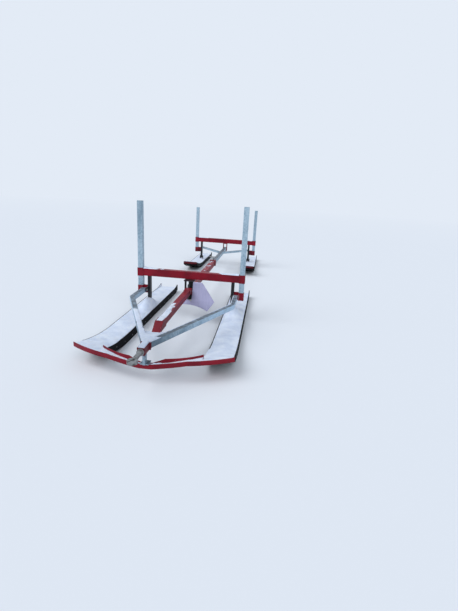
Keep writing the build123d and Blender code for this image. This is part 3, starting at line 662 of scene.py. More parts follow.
@dataclass(frozen=True)
class TurnedSteel:
    """Turned and greased carbon steel, as pins, bolts and the tow eye are.

    It is grey and half bright, with dark patches where old grease holds dirt. The tool's marks
    are a fifth of a millimetre wide, and are drawn at 1.2 mm, to show.
    """

    steel: str = "8d8f90"
    grease: str = "3a332c"
    greasy: Blotches = Blotches(22.0, 5, 0.65, (0.5, 0.66), (0.0, 0.85))
    tool_marks: Blotches = Blotches(1.2, 2, 0.5)
    relief_mm: float = 0.05
    sheen: Blotches = Blotches(12.0, 4, span=(0.3, 0.7), to=(0.28, 0.5))
    metallic: float = 0.9

    def material(self) -> bpy.types.Material:
        """Build the shader.

        Returns:
            The material.
        """
        s = Shader("turned_steel")
        return s.close(
            s.clouds(self.tool_marks),
            depth_mm=self.relief_mm,
            Base_Color=s.layers(self.steel, (s.clouds(self.greasy), self.grease)),
            Metallic=self.metallic,
            Roughness=s.clouds(self.sheen),
        )


@dataclass(frozen=True)
class MillSheet:
    """Mill-finish aluminium sheet: pale, hardly glossy, with a faint violet that is painted light.

    The rolls leave faint lines down it, which are drawn coarser than the real ones, to show.
    Its edges are lighter than its faces, which is a painted highlight.
    """

    # The faint violet of these colours is painted light.
    sheet: str = "8b8ba9"
    rubbed: str = "9b9ab6"
    smear: str = "75758f"
    # Painted highlight along the edges.
    cut: str = "c6c6da"
    rolled: Blotches = Blotches(6.0, 3, 0.5, stretch=(1.0, 0.05, 0.05))
    rubbed_span: tuple[float, ...] = (0.4, 0.7, 0.0, 0.5)
    smears: Blotches = Blotches(90.0, 5, 0.65, (0.5, 0.72), (0.0, 0.45))
    edge_mm: float = 4.0
    relief_mm: float = 0.08
    sheen: Blotches = Blotches(60.0, 5, span=(0.3, 0.7), to=(0.42, 0.6))
    metallic: float = 0.35

    def material(self) -> bpy.types.Material:
        """Build the shader.

        Returns:
            The material.
        """
        s = Shader("mill_sheet")
        rolled = s.clouds(self.rolled)
        colour = s.layers(
            self.sheet,
            (s.add("MapRange", rolled, *self.rubbed_span), self.rubbed),
            (s.clouds(self.smears), self.smear),
            # Painted highlight: a lighter rim along every edge.
            (s.edge_wear(self.edge_mm), self.cut),
        )
        return s.close(
            rolled,
            depth_mm=self.relief_mm,
            Base_Color=colour,
            Metallic=self.metallic,
            Roughness=s.clouds(self.sheen),
        )


FINISHES = {
    Slot.RED: RedEnamel(),
    Slot.BLACK: BlackEnamel(),
    Slot.ZINC: HotDipZinc(),
    Slot.PLASTIC: Polyethylene(),
    Slot.PIN: TurnedSteel(),
    Slot.SHEET: MillSheet(),
}


class Palette:
    """The built materials, one for each slot and one for the snow."""

    def __init__(self) -> None:
        """Build every material once."""
        self.by_slot = {slot: finish.material() for slot, finish in FINISHES.items()}
        self.snow = Snow().material()

    def dress_nodes(self) -> None:
        """Give each of the frame's nodes its finish and a slightly broken edge."""
        slots = {row["node"]: Slot(row["material_slot"]) for row in frame["record"]["subparts"]}
        for name, node in frame["nodes"].items():
            for place in node.material_slots:
                place.material = self.by_slot[slots[name]]
            break_edges(node)
            log.info("%s: %s", name, slots[name].value)


def break_edges(node: bpy.types.Object, width_mm: float = 1.2, sharp_deg: float = 40.0) -> None:
    """Round a node's sharp edges a little, as rolled and welded steel has them.

    Args:
        node: One of the frame's nodes.
        width_mm: The width of the rounding.
        sharp_deg: The least angle between two faces whose edge is rounded.
    """
    weld = node.modifiers.new("join_corners", "WELD")
    weld.merge_threshold = 1e-5
    bevel = node.modifiers.new("broken_edge", "BEVEL")
    bevel.width = width_mm * MM
    bevel.segments = 2
    bevel.limit_method = "ANGLE"
    bevel.angle_limit = math.radians(sharp_deg)
    bevel.harden_normals = True


class Work:
    """One mesh under construction, which may join many small things."""

    def __init__(self, name: str) -> None:
        """Start an empty mesh for the piece of that name."""
        self.name = name
        self.mesh = bmesh.new()

    def loft(self, rings: Sequence[Sequence[Vector]]) -> None:
        """Add a closed skin through rings of corners, with a cap at each end.

        Args:
            rings: Rings of the same number of corners, in order.
        """
        made = [[self.mesh.verts.new(p) for p in points] for points in rings]
        count = len(made[0])
        for low, high in zip(made, made[1:]):
            for i in range(count):
                j = (i + 1) % count
                self.mesh.faces.new((low[i], low[j], high[j], high[i]))
        self.mesh.faces.new(list(reversed(made[0])))
        self.mesh.faces.new(made[-1])

    def turned(
        self, base: Vector, axis: Vector, profile: Sequence[tuple[float, float]], sides: int
    ) -> None:
        """Add a turned or hexagonal form.

        Args:
            base: The point where the axis meets the seat.
            axis: The direction that the form stands out.
            profile: Radius and height of each ring, from the seat outwards.
            sides: The number of sides.
        """
        turn = axis.normalized().to_track_quat("Z", "Y").to_matrix()
        self.loft(
            [
                [base + turn @ Vector((radius * c, radius * s, height)) for c, s in circle(sides)]
                for radius, height in profile
            ]
        )

    def bolt(self, base: Vector, axis: Vector, across_mm: float) -> None:
        """Add a washer, a hexagon nut on it and the rounded end of the bolt.

        Args:
            base: The point on the face that it clamps.
            axis: The face's outward direction.
            across_mm: The nut's width across its flats.
        """
        flat = across_mm * MM / 2
        corner = flat / math.cos(math.pi / 6)
        rim, chamfer, thread, point = 1.3 * corner, 0.93 * flat, 0.58 * flat, 0.4 * flat
        washer, bevel, nut, end, tip = (flat * share for share in (0.16, 0.855, 0.95, 1.35, 1.458))
        self.turned(base, axis, [(rim, 0), (rim, washer)], 20)
        self.turned(base, axis, [(corner, washer), (corner, bevel), (chamfer, nut)], 6)
        self.turned(base, axis, [(thread, nut), (thread, end), (point, tip)], 12)

    def rivet(self, base: Vector, axis: Vector, radius_mm: float = 5.0) -> None:
        """Add a low domed rivet head.

        Args:
            base: The point on the face that it holds.
            axis: The face's outward direction.
            radius_mm: The head's radius.
        """
        dome = ((1.0, 0.0), (0.92, 0.16), (0.6, 0.34), (0.2, 0.42))
        size = radius_mm * MM
        self.turned(base, axis, [(size * width, size * height) for width, height in dome], 12)

    def bead(self, path: Sequence[Vector], radius_mm: float = 2.6, ripple_mm: float = 4.0) -> None:
        """Add a weld bead, rippled and a little unsteady as a hand weld is.

        Args:
            path: The corners of the run that it follows.
            radius_mm: The bead's radius.
            ripple_mm: The distance from ripple to ripple.
        """
        trough, taper, unsteady, waver_mm = 0.82, 0.45, 0.22, 1000 / 90
        for start, end in zip(path, path[1:]):
            along = end - start
            count = max(4, 2 * round(along.length / (ripple_mm * MM)))
            turn = along.normalized().to_track_quat("Z", "Y").to_matrix()
            rings = []
            for i in range(count + 1):
                centre = start + along * (i / count)
                radius = radius_mm * MM * (1 + unsteady * noise.noise(centre * per_metre(waver_mm)))
                radius *= 1.0 if i % 2 else trough
                radius *= taper if i in (0, count) else 1.0
                rings.append([centre + turn @ Vector((radius * c, radius * s, 0)) for c, s in circle(7)])
            self.loft(rings)

    def seams(self, *ends: tuple[tuple[float, float, float], tuple[float, float, float]]) -> None:
        """Add straight weld beads, each between two points."""
        for start, end in ends:
            self.bead([Vector(start), Vector(end)])

    def wire(self, path: Sequence[Vector], flat: Vector, radius_mm: float = 1.4) -> None:
        """Add a round wire along a path that lies in one plane.

        Args:
            path: The points that its middle follows.
            flat: The normal of the path's plane.
            radius_mm: Its radius.
        """
        rings = []
        for before, point, after in zip([path[0], *path], path, [*path[1:], path[-1]]):
            out = (after - before).cross(flat).normalized()
            rings.append([point + (out * c + flat * s) * radius_mm * MM for c, s in circle(8)])
        self.loft(rings)

    def split_pin(self, head: Vector, flat: Vector, reach: float) -> None:
        """Add a split pin down through a pin's head, with its eye above and its legs spread.

        Args:
            head: The middle of the head.
            flat: The direction of the pin's axis.
            reach: The head's radius.
        """
        eye, gap, spread, neck, foot = 4.5 * MM, 1.2 * MM, 6 * MM, 2 * MM, 9 * MM
        turns = [math.radians(15 * k) for k in range(12)]
        centre = head + UP * (reach + eye)
        for side in (-1, 1):
            out = UP.cross(flat) * side
            loop = [centre + (UP * math.cos(a) + out * math.sin(a)) * eye for a in turns]
            leg = [head + out * gap - UP * z for z in (-reach, 0.0, reach + neck)]
            self.wire([*loop, *leg, head + out * spread - UP * (reach + foot)], flat)

    def place(
        self, body: str, palette: Palette, slot: Slot | None = None, smooth_deg: float = 40.0
    ) -> bpy.types.Object:
        """Turn the mesh into a piece that rides on a body.

        Args:
            body: The body's name.
            palette: The built materials.
            slot: The record's slot that its finish comes from, or None for snow.
            smooth_deg: Faces that meet at less than this are shaded smooth.

        Returns:
            The piece.
        """
        bmesh.ops.recalc_face_normals(self.mesh, faces=self.mesh.faces)
        data = bpy.data.meshes.new(self.name)
        self.mesh.to_mesh(data)
        self.mesh.free()
        data.materials.append(palette.by_slot[slot] if slot else palette.snow)
        data.shade_smooth()
        data.set_sharp_from_angle(angle=math.radians(smooth_deg))
        piece = bpy.data.objects.new(self.name, data)
        bpy.context.scene.collection.objects.link(piece)
        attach(piece, body)
        log.info("%s: %d faces on %s", self.name, len(data.polygons), body)
        return piece


class Probe:
    """Measures the frame's solids by rays, so that what lies on them fits them."""

    def __init__(self, *nodes: str) -> None:
        """Join the named nodes into one tree of faces.

        Args:
            nodes: The nodes' names.
        """
        corners: list[Vector] = []
        faces: list[list[int]] = []
        for name in nodes:
            data = frame["nodes"][name].data
            start = len(corners)
            corners += [v.co.copy() for v in data.vertices]
            faces += [[start + i for i in p.vertices] for p in data.polygons]
        self.tree = BVHTree.FromPolygons(corners, faces)

    def top(self, x: float, y: float, above: float = 2.0) -> float | None:
        """The height of the first face below a point, or None where there is none."""
        hit = self.tree.ray_cast(Vector((x, y, above)), -UP)
        return hit[0].z if hit[0] is not None else None

    def over(self, x: float, y: float, beside: float = 0.2) -> float:
        """The height of the first face below a point, or of the nearest face beside it.

        Args:
            x: The point's place across the sledge.
            y: The point's place along it.
            beside: The height from which the nearest face is looked for.

        Returns:
            The height.
        """
        height = self.top(x, y)
        if height is not None:
            return height
        return self.tree.find_nearest(Vector((x, y, beside)))[0].z

    def first_y(self, x: float, z: float, y: float) -> float:
        """Where a ray towards the rear from y first meets a face."""
        return self.tree.ray_cast(Vector((x, y, z)), REARWARD)[0].y

    def heights(self, x: float, ys: Sequence[float]) -> list[tuple[float, float]]:
        """The places along a line at constant x that have a face below, with its height."""
        found = [(y, self.top(x, y)) for y in ys]
        return [(y, z) for y, z in found if z is not None]

    def line(self, x: float, low_y: float, high_y: float) -> Callable[[float], float]:
        """The height along a line at constant x, sampled once and read between.

        Args:
            x: The line's place across the sledge.
            low_y: Where it starts.
            high_y: Where it ends.

        Returns:
            A function from y to the height there.
        """
        count = 400
        known = self.heights(x, [low_y + (high_y - low_y) * (i + 0.5) / count for i in range(count)])

        def height(y: float) -> float:
            """The height at y, held beyond the ends.

            Args:
                y: The place along the line.

            Returns:
                The height.
            """
            place = held((y - known[0][0]) / (known[-1][0] - known[0][0])) * (len(known) - 1)
            i = min(int(place), len(known) - 2)
            return known[i][1] + (known[i + 1][1] - known[i][1]) * (place - i)

        return height


@dataclass(frozen=True)
class Ripple:
    """Smooth unevenness over the ground plan.

    Attributes:
        high: How far it rises and falls.
        size_mm: The size of its waves.
        seed: Which of many like patterns it is.
    """

    high: float
    size_mm: float
    seed: float = 0.0

    def at(self, x: float, y: float) -> float:
        """Its height at a place, below 0 where it dips."""
        scale = per_metre(self.size_mm)
        return self.high * noise.noise(Vector((x * scale, y * scale, self.seed)))


@dataclass(frozen=True)
class Hump:
    """A smooth hump along a layer, measured in shares of the layer's length.

    Attributes:
        high: Its height.
        middle: Where it is highest.
        run: How far from there it has sunk to about a third of its height.
    """

    high: float
    middle: float
    run: float

    def at(self, u: float) -> float:
        """Its height at a share of the way along the layer."""
        return self.high * math.exp(-(((u - self.middle) / self.run) ** 2))


@dataclass(frozen=True)
class Heap:
    """Snow heaped round a post.

    Attributes:
        across: How far it spreads across the ski.
        along: How far it spreads along the ski.
        high: Its height.
        steep: How steep its sides are: 2 is a bell, and more is a flatter top.
    """

    across: float
    along: float
    high: float
    steep: float = 2.6

    def at(self, across: float, along: float) -> float:
        """Its height at a distance across and along the ski from the post."""
        far = math.hypot(across / self.across, along / self.along)
        return self.high * math.exp(-(far**self.steep))


class SnowLayer:
    """A closed layer of snow on the sledge, drawn as a grid over its plan.

    Each kind of layer says where it lies, what it lies on and how deep it is.

    Attributes:
        name: The piece's name.
        body: The body that it rides on.
        cells: The numbers of cells along it and across it.
        coarse: Its larger unevenness.
        fine: Its smaller unevenness.
        sides: The share of its width over which each of its sides rounds off.
        lift: How far its underside stays clear of what it lies on.
        bare: Cells whose corners are all shallower than this are left out.
        least: The depth that a corner has at least.
    """

    name: str
    body: str
    cells: tuple[int, int]
    coarse: Ripple
    fine: Ripple
    sides: float = 0.3
    lift: float = 0.3 * MM
    bare: float = 0.0
    least: float = 0.4 * MM

    def uneven(self, x: float, y: float) -> float:
        """The coarse and the fine unevenness at a place, added up."""
        return self.coarse.at(x, y) + self.fine.at(x, y)

    def plan(self, u: float, v: float) -> tuple[float, float]:
        """The x and y of the point at a share u of the way along the layer and v across it."""
        raise NotImplementedError

    def floor(self, x: float, y: float) -> float:
        """The height of what the layer lies on, at x and y."""
        raise NotImplementedError

    def depth(self, u: float, v: float, x: float, y: float) -> float:
        """How deep the layer is at a share u of the way along it and v across it, at x and y."""
        raise NotImplementedError

    def build(self, palette: Palette) -> bpy.types.Object:
        """Make the mesh and place it.

        Args:
            palette: The built materials.

        Returns:
            The piece.
        """
        columns, rows = self.cells
        grid = {}
        for i in range(columns + 1):
            for j in range(rows + 1):
                u, v = i / columns, j / rows
                x, y = self.plan(u, v)
                rise = max(self.depth(u, v, x, y), self.least)
                grid[i, j] = (x, y, self.floor(x, y) + self.lift, rise)
        kept = []
        for i in range(columns):
            for j in range(rows):
                corners = ((i, j), (i + 1, j), (i + 1, j + 1), (i, j + 1))
                if max(grid[c][3] for c in corners) > self.bare:
                    kept.append(corners)
        work = Work(self.name)
        upper, lower = {}, {}
        for corner in dict.fromkeys(c for corners in kept for c in corners):
            x, y, ground, rise = grid[corner]
            upper[corner] = work.mesh.verts.new((x, y, ground + rise))
            lower[corner] = work.mesh.verts.new((x, y, ground))
        edges = set()
        for corners in kept:
            work.mesh.faces.new([upper[c] for c in corners])
            work.mesh.faces.new([lower[c] for c in reversed(corners)])
            edges.update(zip(corners, corners[1:] + corners[:1]))
        for here, there in sorted(edges):
            if (there, here) not in edges:
                work.mesh.faces.new((lower[here], lower[there], upper[there], upper[here]))
        return work.place(self.body, palette, smooth_deg=60)


@dataclass
class PanSnow(SnowLayer):
    """Snow in one ski's pan, level with its rims and a little over them, with a heap at the post.

    Attributes:
        end: Which sledge the ski belongs to.
        side: Which side it is on.
        crown: How far the middle stands over the sides.
        crown_power: How square the crown is: 1 is a half wave, and less is a flatter top.
        over_rims: Its depth on the rims.
        rim: The width of a rim.
        corner: How far the first line inside a rim lies from it.
        margin: How far it stays in from the pan's outer faces.
        probe_in: How far in from the outer faces the rims are measured.
        slack: How far inside a rim's width a line may lie and still be on the rim.
        lines: The number of steps between the two rims.
        columns: The number of steps along the ski.
        crowding: How much closer the steps lie at the nose: 1 is even.
        step: The step by which the pan's front end is looked for.
        rear_gap: How far it ends ahead of the pan's tail.
        tail: How many times the length over which it thins out at the tail goes into it.
        tail_fill: How much of the pan's depth it fills at the tail.
        heap_sides: The share of the ski's width over which the heap falls off at each side.
        lap: How far it creeps over the shell's inner wall, near a front ski's nose.
        lap_reach: How far along the ski it does so.
        lap_fade: The length over which that ends.
        lap_edge: How uneven that end is, as a share of its length.
        nose_band: The bare band behind the edge of the nose, at each end.
        heaps: The heap at the post, at each end.
    """

    end: End
    side: Side
    crown: float = 6 * MM
    crown_power: float = 0.6
    over_rims: float = 1.3 * MM
    rim: float = 4.4 * MM
    corner: float = 0.6 * MM
    margin: float = 0.3 * MM
    probe_in: float = 2 * MM
    slack: float = 0.1 * MM
    lines: int = 22
    columns: int = 240
    crowding: float = 1.15
    step: float = 3 * MM
    rear_gap: float = 12 * MM
    tail: float = 6.0
    tail_fill: float = 0.35
    heap_sides: float = 0.3
    lap: float = 7.6 * MM
    lap_reach: float = 0.42
    lap_fade: float = 0.1
    lap_edge: Ripple = Ripple(1.2, 70, 2.0)
    nose_band: ClassVar[dict[End, float]] = {End.FRONT: 1.2 * MM, End.REAR: 7 * MM}
    heaps: ClassVar[dict[End, Heap]] = {
        End.FRONT: Heap(0.075, 0.13, 0.085),
        End.REAR: Heap(0.07, 0.1, 0.014),
    }

    coarse = Ripple(3.0 * MM, 240)
    fine = Ripple(1.6 * MM, 60, 3.0)
    sides = 0.1
    lift = 0.2 * MM

    def __post_init__(self) -> None:
        """Measure the pan and its post."""
        pan = self.end.node("ski_pan", self.side)
        self.name = f"snow_{pan}"
        self.body = self.end.ski_body(self.side)
        self.low, self.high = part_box(pan)
        self.width = self.high.x - self.low.x
        self.probe = Probe(pan)
        self.rims = [
            self.probe.line(x, self.low.y, self.high.y)
            for x in (self.low.x + self.probe_in, self.high.x - self.probe_in)
        ]
        post_low, post_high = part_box(self.end.node("post", self.side))
        self.foot = (post_low + post_high) / 2
        self.across = self.spread()
        self.cells = (self.columns, len(self.across) - 1)
        self.fronts: dict[int, float] = {}

    def spread(self) -> list[float]:
        """The distances of the lines along the ski from its left side.

        Returns:
            Two lines on each rim and even ones between them.
        """
        start = self.rim + self.corner
        inside = self.width - 2 * start
        between = [start + inside * j / self.lines for j in range(self.lines + 1)]
        return [self.margin, self.rim, *between, self.width - self.rim, self.width - self.margin]

    def front_of(self, x: float) -> float:
        """The pan's front end at x, where a ray from above first meets its plate or its nose.

        Args:
            x: The place across the ski.

        Returns:
            The y of the front end.
        """
        y = self.low.y
        while self.probe.top(x, y) is None:
            y += self.step
        return y

    def spill(self, x: float, y: float) -> float:
        """How far the snow creeps over the shell's inner wall at y."""
        near = (self.low.y + self.lap_reach - y) / self.lap_fade + self.lap_edge.at(x, y)
        return self.lap * held(near) if self.end is End.FRONT else 0.0

    def plan(self, u: float, v: float) -> tuple[float, float]:
        """Lines along the ski from its bowed front to its tail.

        Args:
            u: The share of the way along a line.
            v: The share of the way across the ski.

        Returns:
            The x and y there.
        """
        row = round(v * self.cells[1])
        x = self.low.x + self.across[row]
        if row not in self.fronts:
            inside = min(max(x, self.low.x + self.probe_in), self.high.x - self.probe_in)
            self.fronts[row] = self.front_of(inside) + self.nose_band[self.end]
        length = self.high.y - self.rear_gap - self.fronts[row]
        y = self.fronts[row] + length * u**self.crowding
        inner = 0 if self.side is Side.RIGHT else self.cells[1]
        if row == inner:
            wall = self.low.x if self.side is Side.RIGHT else self.high.x
            x -= self.side.value * self.spill(wall, y)
        return x, y

    def level(self, x: float, y: float) -> float:
        """The height of the rims at a place, even from one to the other."""
        share = held((x - self.low.x) / self.width)
        return self.rims[0](y) * (1 - share) + self.rims[1](y) * share

    def floor(self, x: float, y: float) -> float:
        """The rims near the sides, and the pan between them.

        Args:
            x: The place across the ski.
            y: The place along it.

        Returns:
            The height.
        """
        on_rim = self.rim + self.slack
        if x < self.low.x + on_rim or x > self.high.x - on_rim:
            return self.level(x, y)
        return self.probe.over(x, y)

    def depth(self, u: float, v: float, x: float, y: float) -> float:
        """Up to the rims and a little over them, thinner at the tail.

        Args:
            u: The share of the way along the layer.
            v: The share of the way across it.
            x: The place across the sledge.
            y: The place along it.

        Returns:
            The depth.
        """
        share = held((x - self.low.x) / self.width)
        crown = self.crown * math.sin(math.pi * share) ** self.crown_power
        crown += self.uneven(x, y) * swell(share, self.sides)
        full = swell(min(1.0, (1 - u) * self.tail) / 2, 0.5)
        heaped = self.heaps[self.end].at(x - self.foot.x, y - self.foot.y)
        over = self.over_rims + crown * full + heaped * swell(share, self.heap_sides)
        filled = self.tail_fill + (1 - self.tail_fill) * full
        return over + (self.level(x, y) - self.floor(x, y)) * filled


@dataclass
class SkiRivets:
    """Rivets along both side walls of one ski's shell, which hold the pan in it.

    Attributes:
        end: Which sledge the ski belongs to.
        side: Which side it is on.
        pitch: The distance from rivet to rivet.
        first: How far the first one lies from the nose.
        plain: The length at the two ends that has none.
        over_floor: Their height over the pan's floor.
        floor_in: How far in from the pan's side its floor is measured.
    """

    end: End
    side: Side
    pitch: float = 0.16
    first: float = 0.2
    plain: float = 0.3
    over_floor: float = 12 * MM
    floor_in: float = 6 * MM

    def build(self, palette: Palette) -> None:
        """Set the two rows.

        Args:
            palette: The built materials.
        """
        pan, shell = (self.end.node(what, self.side) for what in ("ski_pan", "ski_shell"))
        pan_low, pan_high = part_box(pan)
        low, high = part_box(shell)
        probe = Probe(pan)
        work = Work(f"rivets_{shell}")
        count = int((high.y - low.y - self.plain) / self.pitch)
        for x, edge, out in ((low.x, pan_low.x, -1), (high.x, pan_high.x, 1)):
            floor = probe.line(edge - out * self.floor_in, pan_low.y, pan_high.y)
            for i in range(count + 1):
                y = low.y + self.first + i * self.pitch
                work.rivet(Vector((x, y, floor(y) + self.over_floor)), ACROSS * out)
        work.place(self.end.ski_body(self.side), palette, Slot.PIN)


@dataclass
class CrossbarSnow(SnowLayer):
    """Snow in the channel of the nose crossbar, banked up against its front flange.

    Attributes:
        front: Depth at the front flange.
        rear_middle: Depth at the rear flange in the crossbar's middle.
        rear_end: Depth at the rear flange beside a ski.
        rear_run: How far from the middle the rear depth changes.
        slope: How the depth falls from front to rear: 1 is even, and less is steeper in front.
        parked: The most depth under the foot of the parked strut.
        strut: Half the width under that foot.
        clump: The extra depth at the front flange beside the foot.
        clump_run: The length over which the clump rises and falls.
        clump_ends: The share of that length over which each of its ends rounds off.
        clear: Distance from the flanges.
        flange: How far the channel's floor lies at least below its front flange.
        ski_gap: Distance from the skis' pans.
        samples: The number of places at which the channel is measured across.
    """

    front: float = 19 * MM
    rear_middle: float = 16 * MM
    rear_end: float = 4 * MM
    rear_run: float = 0.3
    slope: float = 0.8
    parked: float = 15 * MM
    strut: float = 0.034
    clump: float = 13 * MM
    clump_run: float = 0.09
    clump_ends: float = 0.4
    clear: float = 0.8 * MM
    flange: float = 12 * MM
    ski_gap: float = 2 * MM
    samples: int = 400

    name = "snow_nose_crossbar"
    body = End.FRONT.value
    cells = (160, 10)
    coarse = Ripple(2.0 * MM, 90, 5.0)
    fine = Ripple(1.2 * MM, 25, 7.0)

    def __post_init__(self) -> None:
        """Measure the channel along lines across it, from ski to ski."""
        self.low, self.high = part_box("nose_crossbar")
        self.probe = Probe("nose_crossbar")
        pan_low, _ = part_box(End.FRONT.node("ski_pan", Side.RIGHT))
        reach = pan_low.x - self.ski_gap
        columns = self.cells[0]
        self.lines = [reach * (2 * i / columns - 1) for i in range(columns + 1)]
        self.edges = {x: self.channel(x) for x in self.lines}
        self.level = {x: self.probe.over(x, sum(self.edges[x]) / 2) for x in self.lines}

    def channel(self, x: float) -> tuple[float, float]:
        """Where the floor of the channel starts and ends at x, clear of its flanges.

        Args:
            x: The place along the crossbar.

        Returns:
            The y of the floor's front and rear.
        """
        deep = self.high.y - self.low.y
        ys = [self.low.y + deep * i / self.samples for i in range(self.samples + 1)]
        heights = self.probe.heights(x, ys)
        rim = heights[1][1]
        floor = [y for y, z in heights if z < rim - self.flange]
        return floor[0] + self.clear, floor[-1] - self.clear

    def plan(self, u: float, v: float) -> tuple[float, float]:
        """Lines across the channel.

        Args:
            u: The share of the way from ski to ski.
            v: The share of the way from the front flange to the rear one.

        Returns:
            The x and y there.
        """
        x = self.lines[round(u * self.cells[0])]
        front, rear = self.edges[x]
        return x, front + (rear - front) * v

    def floor(self, x: float, y: float) -> float:
        """The web of the channel."""
        return self.level[x]

    def depth(self, u: float, v: float, x: float, y: float) -> float:
        """Deep at the front flange and shallow at the rear one.

        Args:
            u: The share of the way along the layer.
            v: The share of the way across it.
            x: The place across the sledge.
            y: The place along it.

        Returns:
            The depth.
        """
        out = min(abs(x) / self.rear_run, 1.0)
        rear = self.rear_middle + (self.rear_end - self.rear_middle) * out
        full = self.front + (rear - self.front) * v**self.slope + self.uneven(x, y)
        if abs(x) < self.strut:
            return min(full, self.parked)
        beside = held((abs(x) - self.strut) / self.clump_run)
        return full + self.clump * swell(beside, self.clump_ends) * (1 - v)


@dataclass(frozen=True)
class Wishbone:
    """Plan of the drawbar's right half, with y measured from the front bunk.

    Attributes:
        bunk_y: The front bunk's place along Y.
        elbow_x: The elbow's distance from the centre line.
        elbow_y: The elbow's place.
        meet_y: Where the two arms' centre lines meet.
        half: Half the width of an arm's flat top.
        top: The height of the arms' tops.
        gusset_top: The height of the gusset's top.
        gusset_rear: The gusset's rear edge.
        lap: How far ahead of that edge the arms' own snow starts.
        coupler_front: The coupler's front end.
        coupler_rear: The coupler's rear end.
        coupler_half: Half the coupler's width.
        leg_end: Where the leg's snow ends, ahead of the hinge.
        elbow_share: The share of an arm's snow that lies ahead of the elbow.
    """

    bunk_y: float
    elbow_x: float = 0.4515
    elbow_y: float = -0.385
    meet_y: float = -1.366
    half: float = 0.0193
    top: float = 0.27
    gusset_top: float = 0.25
    gusset_rear: float = -1.125
    lap: float = 4 * MM
    coupler_front: float = -1.445
    coupler_rear: float = -1.345
    coupler_half: float = 0.022
    leg_end: float = -0.1
    elbow_share: float = 0.8

    @property
    def slope(self) -> float:
        """How far an arm's centre line runs sideways for each metre towards the rear."""
        return self.elbow_x / (self.elbow_y - self.meet_y)

    @property
    def half_across(self) -> float:
        """Half the width of an arm, measured straight across the sledge."""
        return self.half * math.hypot(1, self.slope)

    def reach(self, y: float) -> float:
        """Half the width over the arms' outer edges at y, or over the coupler where it is wider."""
        outer = (y - self.meet_y) * self.slope + self.half_across
        return self.coupler_half if y < self.coupler_rear else max(self.coupler_half, outer)

    def edge(self, u: float, out: int) -> tuple[float, float]:
        """A point on the outer or inner edge of the right arm and its leg.

        Args:
            u: From 0 at the gusset to 1 near the hinge.
            out: 1 for the outer edge, -1 for the inner one.

        Returns:
            Its x and y.
        """
        length = math.hypot(1, self.slope)
        start_y = self.gusset_rear - self.lap
        side_x, side_y = self.half / length, -self.half * self.slope / length
        start = ((start_y - self.meet_y) * self.slope + out * side_x, start_y + out * side_y)
        mitre = self.half * math.tan(math.atan(self.slope) / 2)
        corner = (self.elbow_x + out * self.half, self.elbow_y - out * mitre)
        if u <= self.elbow_share:
            first, last, share = start, corner, u / self.elbow_share
        else:
            first, last = corner, (corner[0], self.leg_end)
            share = (u - self.elbow_share) / (1 - self.elbow_share)
        return tuple(a + (b - a) * share for a, b in zip(first, last))


@dataclass
class GussetSnow(SnowLayer):
    """Thick snow over the coupler, the gusset and the arms' front ends.

    Attributes:
        wishbone: The drawbar's plan.
        front_gap: How far it starts behind the coupler's front end.
        rear_gap: How far it ends ahead of the gusset's rear edge.
        crown: How far its middle stands over the arms.
        ends: The share of its length over which each of its ends rounds off.
        front_rise: How fast it gets full at the front, for each share of its length.
        front_fill: The share of its depth that it has at the very front.
        thin: Its depth where the centre beam's sleeve starts.
        thin_edge: How uneven it is there.
        sleeve_y: Where that is, from the front bunk.
        sleeve_run: The length over which it gets thin.
        wiped_y: Where the right arm's own top is wiped bare, from the front bunk.
        wiped_run: The length over which that starts.
        wiped_edge: How uneven that start is.
        in_x: How far inside the arm's inner edge it is still wiped.
    """

    wishbone: Wishbone
    front_gap: float = 3 * MM
    rear_gap: float = 1 * MM
    crown: float = 6 * MM
    ends: float = 0.12
    front_rise: float = 12.0
    front_fill: float = 0.3
    thin: float = 4 * MM
    thin_edge: Ripple = Ripple(2 * MM, 30, 8.0)
    sleeve_y: float = -1.215
    sleeve_run: float = 0.05
    wiped_y: float = -1.25
    wiped_run: float = 0.02
    wiped_edge: Ripple = Ripple(0.02, 40, 6.0)
    in_x: float = 2 * MM

    name = "snow_drawbar_gusset"
    body = "drawbar"
    cells = (90, 44)
    coarse = Ripple(4 * MM, 80, 2.0)
    fine = Ripple(2 * MM, 26, 4.0)
    sides = 0.22
    bare = 0.8 * MM

    def __post_init__(self) -> None:
        """Measure what it lies on."""
        self.probe = Probe("drawbar_gusset", "coupler_block", "drawbar_arm_left", "drawbar_arm_right")

    def plan(self, u: float, v: float) -> tuple[float, float]:
        """Lines across the wishbone.

        Args:
            u: The share of the way towards the rear.
            v: The share of the way from left to right.

        Returns:
            The x and y there.
        """
        front = self.wishbone.coupler_front + self.front_gap
        rear = self.wishbone.gusset_rear - self.rear_gap
        y = front + (rear - front) * u
        return self.wishbone.reach(y) * (2 * v - 1), self.wishbone.bunk_y + y

    def floor(self, x: float, y: float) -> float:
        """The gusset, the arms or the coupler."""
        height = self.probe.top(x, y)
        return self.wishbone.gusset_top if height is None else height

    def depth(self, u: float, v: float, x: float, y: float) -> float:
        """Up to a soft level a little over the arms, thin where the beam's sleeve starts.

        Args:
            u: The share of the way along the layer.
            v: The share of the way across it.
            x: The place across the sledge.
            y: The place along it.

        Returns:
            The depth.
        """
        bar = self.wishbone
        from_bunk = y - bar.bunk_y
        crown = self.crown + self.uneven(x, y)
        full = bar.top + crown * swell(v, self.sides) * swell(u, self.ends) - self.floor(x, y)
        thin = self.thin + self.thin_edge.at(x, y)
        full += (thin - full) * held((from_bunk - self.sleeve_y) / self.sleeve_run)
        if x > bar.reach(from_bunk) - 2 * bar.half_across + self.in_x:
            wiped = self.wiped_y + self.wiped_edge.at(x, y)
            full *= held((wiped - from_bunk) / self.wiped_run)
        return full * min(1.0, self.front_rise * u + self.front_fill)


